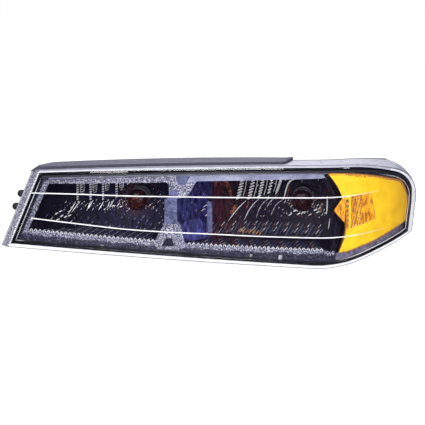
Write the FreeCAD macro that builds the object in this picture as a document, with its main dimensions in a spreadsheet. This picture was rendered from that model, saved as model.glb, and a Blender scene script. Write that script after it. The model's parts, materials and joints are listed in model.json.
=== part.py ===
import FreeCAD, Part
import math
import os

import Sketcher

# Slim two-bay front lamp for the left side of a car, with an amber side marker at its outboard end.
# Lengths are millimetres. The lamp is drawn in its lens frame: +X outboard along the lens, +Y rearward
# into the car, +Z up, with the front of the lens at y = 0. Every finished piece is then carried by one
# shift that puts the origin in the middle of the inboard pivot stud's free shank.

doc = FreeCAD.newDocument("lamp")

# ---------------------------------------------------------------------------------------------------
# Driving dimensions
# ---------------------------------------------------------------------------------------------------

DIMENSIONS = [
    # outline of the lens in the front view
    ("low_left_x", -5.5, "lens, lower inboard corner"),
    ("low_left_z", -41.0, "lens, lower inboard corner"),
    ("top_left_x", 36.8, "lens, upper inboard corner"),
    ("top_left_z", 54.5, "lens, upper inboard corner"),
    ("shoulder_x", 412.0, "lens, where the top edge starts to turn down"),
    ("shoulder_z", 60.5, "lens, where the top edge starts to turn down"),
    ("brow_x", 474.0, "lens, where the upper corner tightens"),
    ("brow_z", 50.3, "lens, where the upper corner tightens"),
    ("outboard_x", 506.0, "lens, outermost point"),
    ("outboard_z", 1.0, "lens, outermost point"),
    ("heel_x", 502.0, "lens, lower outboard corner"),
    ("heel_z", -37.5, "lens, lower outboard corner"),
    ("chin_x", 440.0, "lens, where the lower edge turns up"),
    ("chin_z", -58.0, "lens, where the lower edge turns up"),
    ("belly_x", 376.0, "lens, lowest point"),
    ("belly_z", -66.5, "lens, lowest point"),
    ("top_bend", 4600.0, "radius of the top edge"),
    ("shoulder_bend", 193.0, "radius of the shoulder"),
    ("corner_bend", 45.0, "radius of the upper outboard corner"),
    ("chin_bend", 160.0, "radius of the chin"),
    ("bottom_bend", 8800.0, "radius of the lower edge, which bows upward"),
    # front surface of the lens in plan
    ("crown_x", 120.0, "foremost point of the lens"),
    ("face_bend", 1226.0, "plan radius of the lens face"),
    ("wrap_bend", 185.0, "plan radius of the wrapped end"),
    ("turn_angle", 12.0, "plan angle where the face turns into the wrap, degrees"),
    ("end_angle", 66.5, "plan angle where the wrap ends, degrees"),
    ("face_start", -20.0, "inboard end of the plan curve"),
    # layers behind the front surface
    ("lens_wall", 2.8, "lens wall"),
    ("skirt", 38.0, "lens depth behind its front surface"),
    ("bevel_wide", 9.5, "width of the bevel on the inboard edge"),
    ("bevel_deep", 8.0, "depth of the bevel on the inboard edge"),
    ("bevel_front", 4.0, "y of the bevel's front edge at z = 0"),
    ("seal_thick", 1.5, "sealant between lens and housing"),
    ("flange_thick", 4.0, "housing flange"),
    ("lip_depth", 6.0, "housing lip behind the lens front"),
    ("lip_top", 7.7, "housing lip inside the lens outline, top"),
    ("lip_low", 3.4, "housing lip inside the lens outline, bottom"),
    ("lip_left", 11.8, "housing lip inside the lens outline, inboard"),
    ("lip_right", 3.4, "housing lip inside the lens outline, outboard"),
    ("lip_wall", 2.6, "housing lip wall"),
    ("lip_end", 3.6, "housing lip inside the end of the wrap"),
    ("tub_margin_top", 13.5, "tub inside the lens outline, top"),
    ("tub_margin_low", 10.6, "tub inside the lens outline, bottom"),
    ("tub_margin_left", 18.0, "tub inside the lens outline, inboard"),
    ("tub_right", 452.0, "outboard side of the tub"),
    ("tub_angle", 55.0, "plan angle where the tub ends, degrees"),
    ("tub_wall", 2.6, "tub wall"),
    ("wall_inboard", 95.0, "y of the rear wall behind the inboard bay"),
    ("wall_outboard", 130.0, "y of the rear wall behind the outboard bay"),
    ("wall_marker", 142.0, "y of the rear wall behind the marker"),
    ("step_one", 206.0, "x where the rear wall steps to the outboard bay"),
    ("step_two", 402.0, "x where the rear wall steps to the marker"),
    # bezel and reflectors
    ("bezel_depth", 15.0, "bezel face behind the lens front"),
    ("bezel_thick", 2.2, "bezel plate"),
    ("mirror_wall", 1.8, "reflector wall"),
    ("mirror_rim", 2.0, "reflector outside the bezel window"),
    ("dish_inboard", 150.0, "radius of the inboard reflector's dish"),
    ("dish_outboard", 170.0, "radius of the outboard reflector's dish"),
    ("dish_marker", 62.0, "radius of the marker reflector's dish"),
    ("lamp_one_x", 158.5, "inboard bulb"),
    ("lamp_one_z", 12.0, "inboard bulb"),
    ("lamp_two_x", 361.0, "outboard bulb"),
    ("lamp_two_z", 8.0, "outboard bulb"),
    ("lamp_three_x", 430.0, "marker bulb"),
    ("lamp_three_z", -4.0, "marker bulb"),
    ("dish_gap", 9.0, "reflector's deepest point in front of the rear wall"),
    ("dish_hole", 14.8, "hole in a reflector round its bulb"),
    ("layer_gap", 0.3, "gap between the bezel and the reflectors behind it"),
    ("ear_hole", 1.4, "screw hole in a bezel ear"),
    ("ear_relief", 2.5, "relief in front of a bezel ear for the screw's head"),
    # amber marker lens
    ("amber_depth", 8.0, "marker lens behind the outer lens front"),
    ("amber_wall", 2.3, "marker lens wall"),
    ("amber_skirt", 28.0, "depth of the marker lens"),
    ("amber_end", 7.8, "marker lens inside the end of the wrap"),
    ("amber_bend", 92.0, "radius of the marker lens's inboard edge"),
    ("bezel_bend", 103.0, "radius of the bezel's outboard edge"),
    ("amber_top_bend", 247.0, "radius of the marker lens's top edge"),
    # bulbs and their twist-lock holders
    ("glass_radius", 13.2, "large bulb, glass radius"),
    ("glass_wall", 0.9, "bulb glass wall"),
    ("neck_radius", 8.0, "large bulb, neck radius"),
    ("glass_tip", 61.0, "large bulb, tip in front of the rear wall"),
    ("glass_wide", 50.0, "large bulb, front of its widest part"),
    ("glass_taper", 45.0, "large bulb, where it narrows to the neck"),
    ("glass_neck", 29.0, "large bulb, front of the neck"),
    ("glass_rear", 20.5, "large bulb, rear of the glass"),
    ("small_glass_radius", 5.0, "marker bulb, glass radius"),
    ("small_glass_tip", 34.0, "marker bulb, tip in front of the rear wall"),
    ("key_radius", 14.0, "keyhole in the housing"),
    ("key_lug_radius", 17.2, "keyhole notches"),
    ("twist", 35.0, "holder's twist to release, degrees"),
    ("nose_reach", 15.0, "holder's nose in front of the rear wall"),
    ("flange_radius", 19.0, "holder's flange"),
    ("flange_low", 2.4, "holder's flange, front face behind the rear wall"),
    ("flange_high", 5.0, "holder's flange, rear face behind the rear wall"),
    ("barrel_radius", 13.5, "holder's barrel"),
    ("barrel_rear", 22.0, "holder's barrel, rear face"),
    ("lug_sweep", 30.0, "locking lug, degrees round the nose"),
    ("lug_slack", 2.0, "notch wider than its lug on each side, degrees"),
    ("plug_wide", 22.0, "plug shell, width"),
    ("plug_tall", 15.0, "plug shell, height"),
    ("plug_wall", 1.8, "plug shell wall"),
    ("plug_floor", 23.0, "floor of the plug receptacle behind the rear wall"),
    ("plug_rear", 42.0, "mouth of the plug receptacle behind the rear wall"),
    ("blade_length", 9.0, "contact blade above the receptacle's floor"),
    ("holder_gap", 0.3, "clearance between holder and housing"),
    ("bumper_radius", 4.6, "rubber pegs on the inboard wall"),
    ("bumper_y", 54.5, "axis of the rubber pegs"),
    # pivots and aim adjuster
    ("pivot_one_x", 62.0, "inboard pivot ball"),
    ("pivot_two_x", 432.0, "outboard pivot ball"),
    ("pivot_y", 156.0, "both pivot balls"),
    ("pivot_z", 30.0, "both pivot balls"),
    ("ball_radius", 5.0, "pivot and aim balls"),
    ("ball_gap", 0.3, "clearance round a ball in its socket"),
    ("stud_radius", 3.0, "M6 shank"),
    ("stud_length", 14.0, "free shank behind the stud's hexagon"),
    ("stud_reach", 26.0, "ball centre to the shank's free end"),
    ("aim_x", 262.0, "aim rod"),
    ("aim_z", -40.0, "aim rod"),
    ("aim_wheel_radius", 14.0, "thumbwheel"),
    ("aim_bore_gap", 0.08, "thread clearance, radial"),
    ("aim_wheel_front", 16.3, "thumbwheel's front face behind the rear wall"),
    ("aim_wheel_thick", 10.4, "thumbwheel"),
    ("aim_block", 36.0, "adjuster block, width and depth"),
    ("aim_block_tall", 22.0, "adjuster block, height"),
    ("aim_ear_span", 45.0, "between the adjuster's two screws"),
    ("aim_ball_reach", 56.0, "aim rod's ball behind the rear wall"),
    ("tail_side", 4.8, "aim rod's square tail"),
]


class Size:
    """A length that knows its value and the sheet expression that gives it."""

    def __init__(self, value, text):
        self.value = value
        self.text = text

    def _join(self, other, sign, value):
        return Size(value, "(" + self.text + " " + sign + " " + size(other).text + ")")

    def __add__(self, other):
        return self._join(other, "+", self.value + size(other).value)

    def __radd__(self, other):
        return size(other) + self

    def __sub__(self, other):
        return self._join(other, "-", self.value - size(other).value)

    def __rsub__(self, other):
        return size(other) - self

    def __mul__(self, other):
        return self._join(other, "*", self.value * size(other).value)

    def __rmul__(self, other):
        return size(other) * self

    def __truediv__(self, other):
        return self._join(other, "/", self.value / size(other).value)

    def __neg__(self):
        return Size(-self.value, "(0 - " + self.text + ")")


def size(number):
    """A plain number as a Size; a Size is returned as it is."""
    if isinstance(number, Size):
        return number
    return Size(float(number), "(" + format(float(number), ".6f") + ")")


class Dims:
    """The spreadsheet's cells, read as Sizes by their aliases."""

    def __init__(self, rows):
        self.sheet = doc.addObject("Spreadsheet::Sheet", "Dims")
        self.values = {}
        for row, (alias, value, meaning) in enumerate(rows, start=1):
            self.sheet.set("A" + str(row), meaning)
            self.sheet.set("B" + str(row), str(value))
            self.sheet.setAlias("B" + str(row), alias)
            self.values[alias] = value
        doc.recompute()

    def __getattr__(self, alias):
        return Size(self.values[alias], "Dims." + alias)


d = Dims(DIMENSIONS)


def bind(thing, field, amount):
    """Set a property from the sheet."""
    amount = size(amount)
    setattr(thing, field, amount.value)
    thing.setExpression(field, amount.text)


# The shift from the lens frame to the finished frame, whose origin is on the inboard stud's shank.
SHIFT = (-d.pivot_one_x, -(d.pivot_y + d.stud_reach - d.stud_length / 2.0), -d.pivot_z)

UP = FreeCAD.Vector(0, 0, 1)
FRONT_VIEW = FreeCAD.Rotation(FreeCAD.Vector(1, 0, 0), 90)
PLAN_VIEW = FreeCAD.Rotation()
REARWARD = FreeCAD.Rotation(FreeCAD.Vector(1, 0, 0), -90)
ACROSS = FreeCAD.Rotation(FreeCAD.Vector(0, 1, 0), 90)
REACH = 260.0   # half length of a prism that passes right through the lamp
DEEP = 150.0   # depth behind the lens front that is past every reflector

nodes = {}


def place(thing, where, turn=None):
    """Put a piece at three Sizes, turned if asked."""
    thing.Placement = FreeCAD.Placement(FreeCAD.Vector(*[size(c).value for c in where]), turn or PLAN_VIEW)
    for axis, amount in zip("xyz", where):
        thing.setExpression("Placement.Base." + axis, size(amount).text)
    return thing


def node(name, thing, where=(0, 0, 0), turn=None):
    """Finish a piece: name it and carry it from the lens frame to the row frame."""
    thing.Label = name
    place(thing, [shift + size(w) for shift, w in zip(SHIFT, where)], turn)
    nodes[name] = thing
    return thing


# ---------------------------------------------------------------------------------------------------
# Outlines, prisms and turned shapes
# ---------------------------------------------------------------------------------------------------

def arc_centre(start, end, radius):
    """Centre of the arc from start to end; a positive radius puts it on the right of the travel."""
    dx = end[0] - start[0]
    dy = end[1] - start[1]
    chord = math.hypot(dx, dy)
    height = math.sqrt(max(radius * radius - chord * chord / 4.0, 0.0))
    side = math.copysign(height / chord, radius)
    return ((start[0] + end[0]) / 2.0 + dy * side, (start[1] + end[1]) / 2.0 - dx * side)


def draw(sketch, corners):
    """Closed outline through corners, clockwise.

    A corner is (x, y) or (x, y, radius); the radius bends the edge that leaves it, outward when
    positive. Every corner and every radius is bound to the sheet.
    """
    count = len(corners)
    spots = [(size(c[0]).value, size(c[1]).value) for c in corners]
    first = []
    last = []
    for i, corner in enumerate(corners):
        start = spots[i]
        end = spots[(i + 1) % count]
        here = FreeCAD.Vector(start[0], start[1], 0)
        there = FreeCAD.Vector(end[0], end[1], 0)
        if len(corner) == 2:
            edge = sketch.addGeometry(Part.LineSegment(here, there), False)
            first.append((edge, 1))
            last.append((edge, 2))
            continue
        radius = size(corner[2])
        cx, cy = arc_centre(start, end, radius.value)
        angles = [math.atan2(p[1] - cy, p[0] - cx) for p in (start, end)]
        clockwise = radius.value > 0
        if clockwise:
            angles.reverse()
        circle = Part.Circle(FreeCAD.Vector(cx, cy, 0), UP, abs(radius.value))
        edge = sketch.addGeometry(Part.ArcOfCircle(circle, angles[0], angles[1]), False)
        first.append((edge, 2 if clockwise else 1))
        last.append((edge, 1 if clockwise else 2))
        limit = sketch.addConstraint(Sketcher.Constraint("Radius", edge, abs(radius.value)))
        text = radius.text if radius.value > 0 else (-radius).text
        sketch.setExpression("Constraints[" + str(limit) + "]", text)
    for i in range(count):
        before = last[i - 1]
        after = first[i]
        sketch.addConstraint(Sketcher.Constraint("Coincident", before[0], before[1], after[0], after[1]))
        for kind, amount in zip(("DistanceX", "DistanceY"), corners[i][:2]):
            amount = size(amount)
            limit = sketch.addConstraint(Sketcher.Constraint(kind, after[0], after[1], amount.value))
            sketch.setExpression("Constraints[" + str(limit) + "]", amount.text)
    return sketch


def outline(name, corners, view=FRONT_VIEW):
    """A free-standing outline, in the front view or in plan."""
    sketch = doc.addObject("Sketcher::SketchObject", name)
    sketch.Placement = FreeCAD.Placement(FreeCAD.Vector(0, 0, 0), view)
    return draw(sketch, corners)


def prism(name, sketch, grow=None, along=FreeCAD.Vector(0, 1, 0), reach=REACH):
    """A prism right through the lamp from an outline, grown by a margin if asked."""
    base = sketch
    if grow is not None:
        base = doc.addObject("Part::Offset2D", name + "_grown")
        base.Source = sketch
        base.Join = "Intersection"
        bind(base, "Value", grow)
    block = doc.addObject("Part::Extrusion", name)
    block.Base = base
    block.DirMode = "Custom"
    block.Dir = along
    block.Solid = True
    block.Symmetric = True
    bind(block, "LengthFwd", 2.0 * reach)
    return block


def join(kind, name, *things):
    """A boolean of two or more shapes."""
    result = doc.addObject("Part::Multi" + kind, name)
    result.Shapes = list(things)
    return result


def cut(name, base, *tools):
    """Base less the tools."""
    result = doc.addObject("Part::Cut", name)
    result.Base = base
    result.Tool = tools[0] if len(tools) == 1 else join("Fuse", name + "_tools", *tools)
    return result


def turned(name, corners):
    """A body turned about its own Z axis from a half outline of (radius, height) corners."""
    body = doc.addObject("PartDesign::Body", name)
    planes = {feature.Role: feature for feature in body.Origin.OriginFeatures}
    sketch = body.newObject("Sketcher::SketchObject", name + "_half")
    sketch.AttachmentSupport = [(planes["XZ_Plane"], "")]
    sketch.MapMode = "FlatFace"
    draw(sketch, corners)
    turn = body.newObject("PartDesign::Revolution", name + "_turn")
    turn.Profile = sketch
    turn.ReferenceAxis = (sketch, ["V_Axis"])
    turn.Angle = 360.0
    return body


def cylinder(name, radius, height, where=(0, 0, 0), turn=None, angle=None):
    """A cylinder, or a sector of one."""
    shape = doc.addObject("Part::Cylinder", name)
    bind(shape, "Radius", radius)
    bind(shape, "Height", height)
    if angle is not None:
        bind(shape, "Angle", angle)
    return place(shape, where, turn)


def box(name, lengths, where, turn=None):
    """A box standing on its lowest corner."""
    shape = doc.addObject("Part::Box", name)
    for field, amount in zip(("Length", "Width", "Height"), lengths):
        bind(shape, field, amount)
    return place(shape, where, turn)


def sphere(name, radius, where=(0, 0, 0)):
    """A whole ball."""
    shape = doc.addObject("Part::Sphere", name)
    bind(shape, "Radius", radius)
    return place(shape, where)


# ---------------------------------------------------------------------------------------------------
# The lens outline and the slabs that follow its curved front
# ---------------------------------------------------------------------------------------------------

LEFT_SLOPE = (d.top_left_x - d.low_left_x) / (d.top_left_z - d.low_left_z)
CHIN_SLOPE = (d.heel_z - d.chin_z) / (d.heel_x - d.chin_x)
BEVEL_WALL_SHARE = 0.4   # how far the bevel's inner face stands back, for each millimetre of wall


def on_layer(x):
    """y of the lens's front surface at an x on the gentle face arc."""
    bend = d.face_bend.value
    return bend - math.sqrt(bend * bend - (x - d.crown_x.value) ** 2)


def lens_outline(name, top=0.0, low=0.0, left=0.0, right=0.0):
    """The lens's front-view outline, drawn inside itself by a margin for each side."""
    return outline(name, [
        (d.low_left_x + left + LEFT_SLOPE * low, d.low_left_z + low),
        (d.top_left_x + left - LEFT_SLOPE * top, d.top_left_z - top, d.top_bend),
        (d.shoulder_x, d.shoulder_z - top, d.shoulder_bend - top),
        (d.brow_x - 0.33 * size(right), d.brow_z - 0.95 * size(top), d.corner_bend - right),
        (d.outboard_x - right, d.outboard_z),
        (d.heel_x - right, d.heel_z + 1.06 * size(low) - CHIN_SLOPE * right),
        (d.chin_x, d.chin_z + 1.03 * size(low), d.chin_bend - low),
        (d.belly_x, d.belly_z + low, -d.bottom_bend),
    ])


def on_face(angle, depth):
    """Point of the gentle face arc at a plan angle, set back by a depth."""
    bend = d.face_bend - depth
    return (d.crown_x + bend * math.sin(math.radians(angle)), d.face_bend - bend * math.cos(math.radians(angle)))


def on_wrap(angle, depth):
    """Point of the wrapped end's arc at a plan angle, set back by a depth."""
    turn = math.radians(d.turn_angle.value)
    spread = d.face_bend - d.wrap_bend
    bend = d.wrap_bend - depth
    centre_x = d.crown_x + spread * math.sin(turn)
    centre_y = d.face_bend - spread * math.cos(turn)
    angle = math.radians(angle)
    return (centre_x + bend * math.sin(angle), centre_y - bend * math.cos(angle))


def tub_outline(name, inset):
    """Front-view outline of the tub, drawn inside itself by an inset."""
    top = d.tub_margin_top + inset
    low = d.tub_margin_low + inset
    left = d.tub_margin_left + inset
    right = d.tub_right - inset
    return outline(name, [
        (d.low_left_x + left + LEFT_SLOPE * low, d.low_left_z + low),
        (d.top_left_x + left - LEFT_SLOPE * top, d.top_left_z - top, d.top_bend),
        (d.shoulder_x + 14.0, d.shoulder_z - top),
        (right, d.shoulder_z - top - 18.0),
        (right, d.chin_z + low + 14.0),
        (d.chin_x - 16.0, d.chin_z + low - 2.0),
        (d.belly_x, d.belly_z + low, -d.bottom_bend),
    ])


def slab(name, front, rear, end_margin=0.0):
    """Everything between two depths behind the lens's front surface, short of the wrap's end by a margin."""
    start = math.degrees(math.asin((d.face_start.value - d.crown_x.value) / d.face_bend.value))
    turn = d.turn_angle.value
    end = d.end_angle.value - math.degrees(size(end_margin).value / d.wrap_bend.value)
    front = size(front)
    rear = size(rear)
    corners = [
        on_face(start, rear),
        on_face(start, front) + (-(d.face_bend - front),),
        on_wrap(turn, front) + (-(d.wrap_bend - front),),
        on_wrap(end, front),
        on_wrap(end, rear) + (d.wrap_bend - rear,),
        on_wrap(turn, rear) + (d.face_bend - rear,),
    ]
    return prism(name, outline(name + "_plan", corners, PLAN_VIEW), along=UP, reach=120.0)


def behind(name, front, inset):
    """Everything behind the lens's front surface at a depth, back to the tub's stepped rear line."""
    start = math.degrees(math.asin((d.face_start.value - d.crown_x.value) / d.face_bend.value))
    front = size(front)
    end = on_wrap(d.tub_angle.value, front)
    corners = [
        on_face(start, front) + (-(d.face_bend - front),),
        on_wrap(d.turn_angle.value, front) + (-(d.wrap_bend - front),),
        end,
        (end[0], d.wall_marker - inset),
        (d.step_two + inset + 3.0, d.wall_marker - inset),
        (d.step_two + inset, d.wall_outboard - inset),
        (d.step_one + inset + 3.0, d.wall_outboard - inset),
        (d.step_one + inset, d.wall_inboard - inset),
        (d.face_start, d.wall_inboard - inset),
    ]
    return prism(name, outline(name + "_plan", corners, PLAN_VIEW), along=UP, reach=120.0)


def bevel(name, inset):
    """Wedge that bevels the inboard edge of the lens, sheared along that slanted edge and its curved face."""
    inset = size(inset)
    foot_x = d.low_left_x - LEFT_SLOPE * d.low_left_z + inset
    front_y = d.bevel_front + inset * BEVEL_WALL_SHARE
    corners = [
        (foot_x - 30.0, -30.0),
        (foot_x - 30.0, front_y + d.bevel_deep),
        (foot_x, front_y + d.bevel_deep),
        (foot_x + d.bevel_wide, front_y),
        (foot_x + d.bevel_wide + 4.0, -30.0),
    ]
    wide = d.bevel_wide.value
    rise = on_layer(d.low_left_x.value + wide) - on_layer(d.top_left_x.value + wide)
    height = d.top_left_z.value - d.low_left_z.value
    slope = FreeCAD.Vector(LEFT_SLOPE.value, -rise / height, 1)
    return prism(name, outline(name + "_plan", corners, PLAN_VIEW), along=slope, reach=100.0)


def outer_lens():
    """Clear shell: a curved face with a skirt all round, beveled at its inboard edge."""
    wall = d.lens_wall
    outside = join("Common", "lens_outside", prism("lens_block", lens_outline("lens_line")),
                   slab("lens_slab", 0.0, d.skirt))
    hollow = join("Common", "lens_inside",
                  prism("lens_core", lens_outline("lens_core_line", wall, wall, wall, wall)),
                  slab("lens_core_slab", wall, d.skirt + 6.0, 2.8))
    shell = cut("lens_shell_outside", outside, bevel("lens_bevel", 0.0))
    core = cut("lens_shell_inside", hollow, bevel("lens_core_bevel", wall))
    node("outer_lens", cut("outer_lens", shell, core))


def lens_seal():
    """Bead of sealant between the lens skirt and the housing flange."""
    near = d.lens_wall - 0.3
    ring = cut("seal_ring", prism("seal_block", lens_outline("seal_line", 0.3, 0.3, 0.3, 0.3)),
               prism("seal_core", lens_outline("seal_core_line", near, near, near, near)))
    layer = slab("seal_slab", d.skirt, d.skirt + d.seal_thick, 0.3)
    node("lens_seal", join("Common", "lens_seal", ring, layer))


# ---------------------------------------------------------------------------------------------------
# Housing
# ---------------------------------------------------------------------------------------------------

LAMPS = {
    "inboard": (d.lamp_one_x, d.wall_inboard, d.lamp_one_z),
    "outboard": (d.lamp_two_x, d.wall_outboard, d.lamp_two_z),
    "marker": (d.lamp_three_x, d.wall_marker, d.lamp_three_z),
}
PIVOTS = {
    "inboard": (d.pivot_one_x, d.wall_inboard),
    "outboard": (d.pivot_two_x, d.wall_marker),
}
SOCKET_FRONT = 8.0   # pivot socket's front face in front of the ball's centre
VENTS = {"inboard": (110.0, d.wall_inboard, -14.0), "outboard": (318.0, d.wall_outboard, 20.0)}
BUMPERS = ((10.9, 16.5), (3.8, 0.0))
BEZEL_SCREWS = ((120.0, 45.0), (300.0, 48.9), (120.0, -38.0), (300.0, -50.9))


def lug(name, outer, inner, low, high, start, sweep):
    """A sector of a ring about the local Z axis."""
    turn = FreeCAD.Rotation(UP, start)
    block = cylinder(name + "_block", outer, high - low, (0, 0, low), turn, sweep)
    core = cylinder(name + "_core", inner, high - low + 2.0, (0, 0, low - 1.0))
    return cut(name, block, core)


def keyhole(side):
    """Round hole with three notches for a twist-lock holder, cut through the rear wall."""
    deep = d.tub_wall + 2.0
    notch_sweep = d.lug_sweep + 2.0 * d.lug_slack
    parts = [cylinder(side + "_hole", d.key_radius, deep, (0, 0, -deep + 1.0))]
    for start in (0, 120, 240):
        parts.append(cylinder(side + "_notch", d.key_lug_radius, deep, (0, 0, -deep + 1.0),
                              FreeCAD.Rotation(UP, start + d.twist.value - notch_sweep.value / 2.0),
                              notch_sweep))
    return place(join("Fuse", side + "_keyhole", *parts), LAMPS[side], REARWARD)


def housing():
    """Black tub: a lip inside the lens, the flange it is sealed to, and the stepped rear tub."""
    lips = (d.lip_top, d.lip_low, d.lip_left, d.lip_right)
    flange_front = d.skirt + d.seal_thick
    flange_rear = flange_front + d.flange_thick
    wall = d.tub_wall
    lip_out = join("Common", "lip_out",
                   prism("lip_block", lens_outline("lip_line", *lips)),
                   slab("lip_slab", d.lip_depth, flange_rear, d.lip_end))
    flange = join("Common", "flange", prism("flange_block", lens_outline("flange_line")),
                  slab("flange_slab", flange_front, flange_rear))
    tub_out = join("Common", "tub_out", prism("tub_block", tub_outline("tub_line", 0.0)),
                   behind("tub_space", flange_front + 1.0, 0.0))
    lip_in = join("Common", "lip_in",
                  prism("lip_core", lens_outline("lip_core_line", *[m + d.lip_wall for m in lips])),
                  slab("lip_core_slab", 2.0, flange_rear - wall, d.lip_end + d.lip_wall))
    tub_in = join("Common", "tub_in",
                  prism("tub_core", tub_outline("tub_core_line", wall)),
                  behind("tub_core_space", 20.0, wall))
    solids = [lip_out, flange, tub_out]
    tools = [lip_in, tub_in]
    for side, (x, wall_y) in PIVOTS.items():
        length = d.pivot_y - SOCKET_FRONT - wall_y + 1.0
        tower = doc.addObject("Part::Cone", "tower_" + side)
        bind(tower, "Radius1", 12.0)
        bind(tower, "Radius2", 8.5)
        bind(tower, "Height", length)
        solids.append(place(tower, (x, wall_y - 1.0, d.pivot_z), REARWARD))
    for side in LAMPS:
        tools.append(keyhole(side))
    for side, spot in VENTS.items():
        solids.append(cylinder("vent_neck_" + side, 5.0, 9.0, (spot[0], spot[1] - 1.0, spot[2]), REARWARD))
        tools.append(cylinder("vent_bore_" + side, 3.2, 16.0, (spot[0], spot[1] - 6.0, spot[2]), REARWARD))
    for i, (x, z) in enumerate(BEZEL_SCREWS):
        solids.append(cylinder("boss_" + str(i), 2.9, 22.0, (x, on_layer(x) + 20.0, z), REARWARD))
        tools.append(cylinder("boss_bore_" + str(i), 1.15, 12.0, (x, on_layer(x) + 19.0, z), REARWARD))
    node("housing", cut("housing", join("Fuse", "housing_solids", *solids), *tools))


# ---------------------------------------------------------------------------------------------------
# Bezel, reflectors and marker
# ---------------------------------------------------------------------------------------------------

def window_inboard():
    """Front-view outline of the bezel's inboard window."""
    return outline("window_inboard", [
        (27.8, -22.3), (55.2, 35.8), (198.5, 39.6), (201.7, 36.4), (201.7, 21.4), (196.3, 17.7),
        (196.1, -9.3), (194.2, -14.3), (184.3, -33.5),
    ])


def window_outboard():
    """Front-view outline of the bezel's outboard window."""
    return outline("window_outboard", [
        (223.0, -36.7), (220.0, -34.2), (216.0, -14.2), (211.2, -8.0), (211.3, 19.6), (223.4, 21.5),
        (235.1, 40.9), (385.0, 42.4, d.bezel_bend), (396.0, -47.4),
    ])


def bezel_outline():
    """Front-view outline of the bezel."""
    return outline("bezel_line", [
        (17.9, -30.6), (50.3, 40.0, 4200.0), (385.4, 48.6, d.bezel_bend), (400.2, -55.0),
        (180.0, -42.6),
    ])


def notch(name, corners):
    """Small opening through the bezel's centre divider."""
    return prism(name, outline(name + "_line", corners))


def bezel():
    """Plate with two windows, a notched centre divider and four ears for its screws."""
    window_two_open = prism("window_two_open", outline("window_two_open_line", [
        (360.0, -49.6), (360.0, 42.4), (420.0, 42.4), (420.0, -49.6)]))
    plate = join("Common", "bezel_plate", prism("bezel_block", bezel_outline()),
                 slab("bezel_slab", d.bezel_depth, d.bezel_depth + d.bezel_thick))
    ears = []
    tools = []
    for i, (x, z) in enumerate(BEZEL_SCREWS):
        face_y = d.bezel_depth + on_layer(x)
        low = z - 5.2 if z > 0 else z - 1.8
        ears.append(box("ear_" + str(i), (8.0, 3.2, 7.0), (x - 4.0, face_y + 1.6, low)))
        tools.append(cylinder("ear_relief_" + str(i), d.ear_relief, 6.2, (x, face_y - 4.0, z), REARWARD))
        tools.append(cylinder("ear_hole_" + str(i), d.ear_hole, 6.0, (x, face_y + 1.0, z), REARWARD))
    tools += [
        prism("window_one_block", window_inboard()),
        prism("window_two_block", window_outboard()),
        window_two_open,
        notch("notch_top", [(212.5, 36.0), (210.1, 46.9), (227.5, 46.9), (221.0, 36.0)]),
        notch("notch_low", [(192.1, -39.3), (197.7, -29.2), (205.0, -29.2), (207.9, -39.3)]),
    ]
    node("bezel", cut("bezel", join("Fuse", "bezel_solid", plate, *ears), *tools))


def dish(name, side, bend, grow):
    """Ball whose far side is a reflector's back, grown by the reflector's wall."""
    x, wall_y, z = LAMPS[side]
    deep = wall_y - d.dish_gap
    return sphere(name, bend + grow, (x, deep - bend, z))


def reflector(side, window, bend):
    """Open dish behind a bezel window, with a round hole for its bulb."""
    front = d.bezel_depth + d.bezel_thick + d.layer_gap
    x, wall_y, z = LAMPS[side]
    name = "reflector_" + side
    outside = join("Common", name + "_outside", prism(name + "_block", window, d.mirror_rim),
                   slab(name + "_space", front, DEEP), dish(name + "_ball", side, bend, d.mirror_wall))
    inside = join("Common", name + "_inside", prism(name + "_core", window, d.mirror_rim - d.mirror_wall),
                  slab(name + "_core_space", front - 2.0, DEEP), dish(name + "_core_ball", side, bend, 0.0))
    hole = cylinder(name + "_hole", d.dish_hole, 60.0, (x, wall_y - 40.0, z), REARWARD)
    node(name, cut(name, outside, inside, hole))


def marker_outline():
    """Front-view outline of the amber cap."""
    return outline("marker_line", [
        (493.5, -23.5), (449.8, -40.5), (416.0, -50.0), (406.5, -49.6, -d.amber_bend),
        (391.3, 49.6, d.amber_top_bend), (483.5, 31.5, 60.0), (495.8, -4.0),
    ])


def marker_lens():
    """Amber cap inside the outer lens, open at the back."""
    line = marker_outline()
    rear = d.amber_depth + d.amber_skirt
    wall = d.amber_wall
    outside = join("Common", "amber_outside", prism("amber_block", line),
                   slab("amber_slab", d.amber_depth, rear, d.amber_end))
    inside = join("Common", "amber_inside", prism("amber_core", line, -wall),
                  slab("amber_core_slab", d.amber_depth + wall, rear + 4.0, d.amber_end + wall))
    node("marker_lens", cut("marker_lens", outside, inside))


def marker_reflector():
    """Small dish behind the amber cap."""
    line = outline("marker_dish_line", [
        (414.0, -38.0), (411.0, 30.0), (444.0, 28.0), (445.0, -28.0)])
    front = d.amber_depth + d.amber_skirt + d.layer_gap + 0.2
    outside = join("Common", "marker_dish_outside", prism("marker_dish_block", line),
                   slab("marker_dish_space", front, DEEP),
                   dish("marker_dish_ball", "marker", d.dish_marker, d.mirror_wall))
    inside = join("Common", "marker_dish_inside", prism("marker_dish_core", line, -d.mirror_wall),
                  slab("marker_dish_core_space", front - 2.0, DEEP),
                  dish("marker_dish_core_ball", "marker", d.dish_marker, 0.0))
    x, wall_y, z = LAMPS["marker"]
    hole = cylinder("marker_dish_hole", d.dish_hole, 60.0, (x, wall_y - 40.0, z), REARWARD)
    node("reflector_marker", cut("reflector_marker", outside, inside, hole))


# ---------------------------------------------------------------------------------------------------
# Strip, bumpers and small fixed pieces
# ---------------------------------------------------------------------------------------------------

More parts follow.
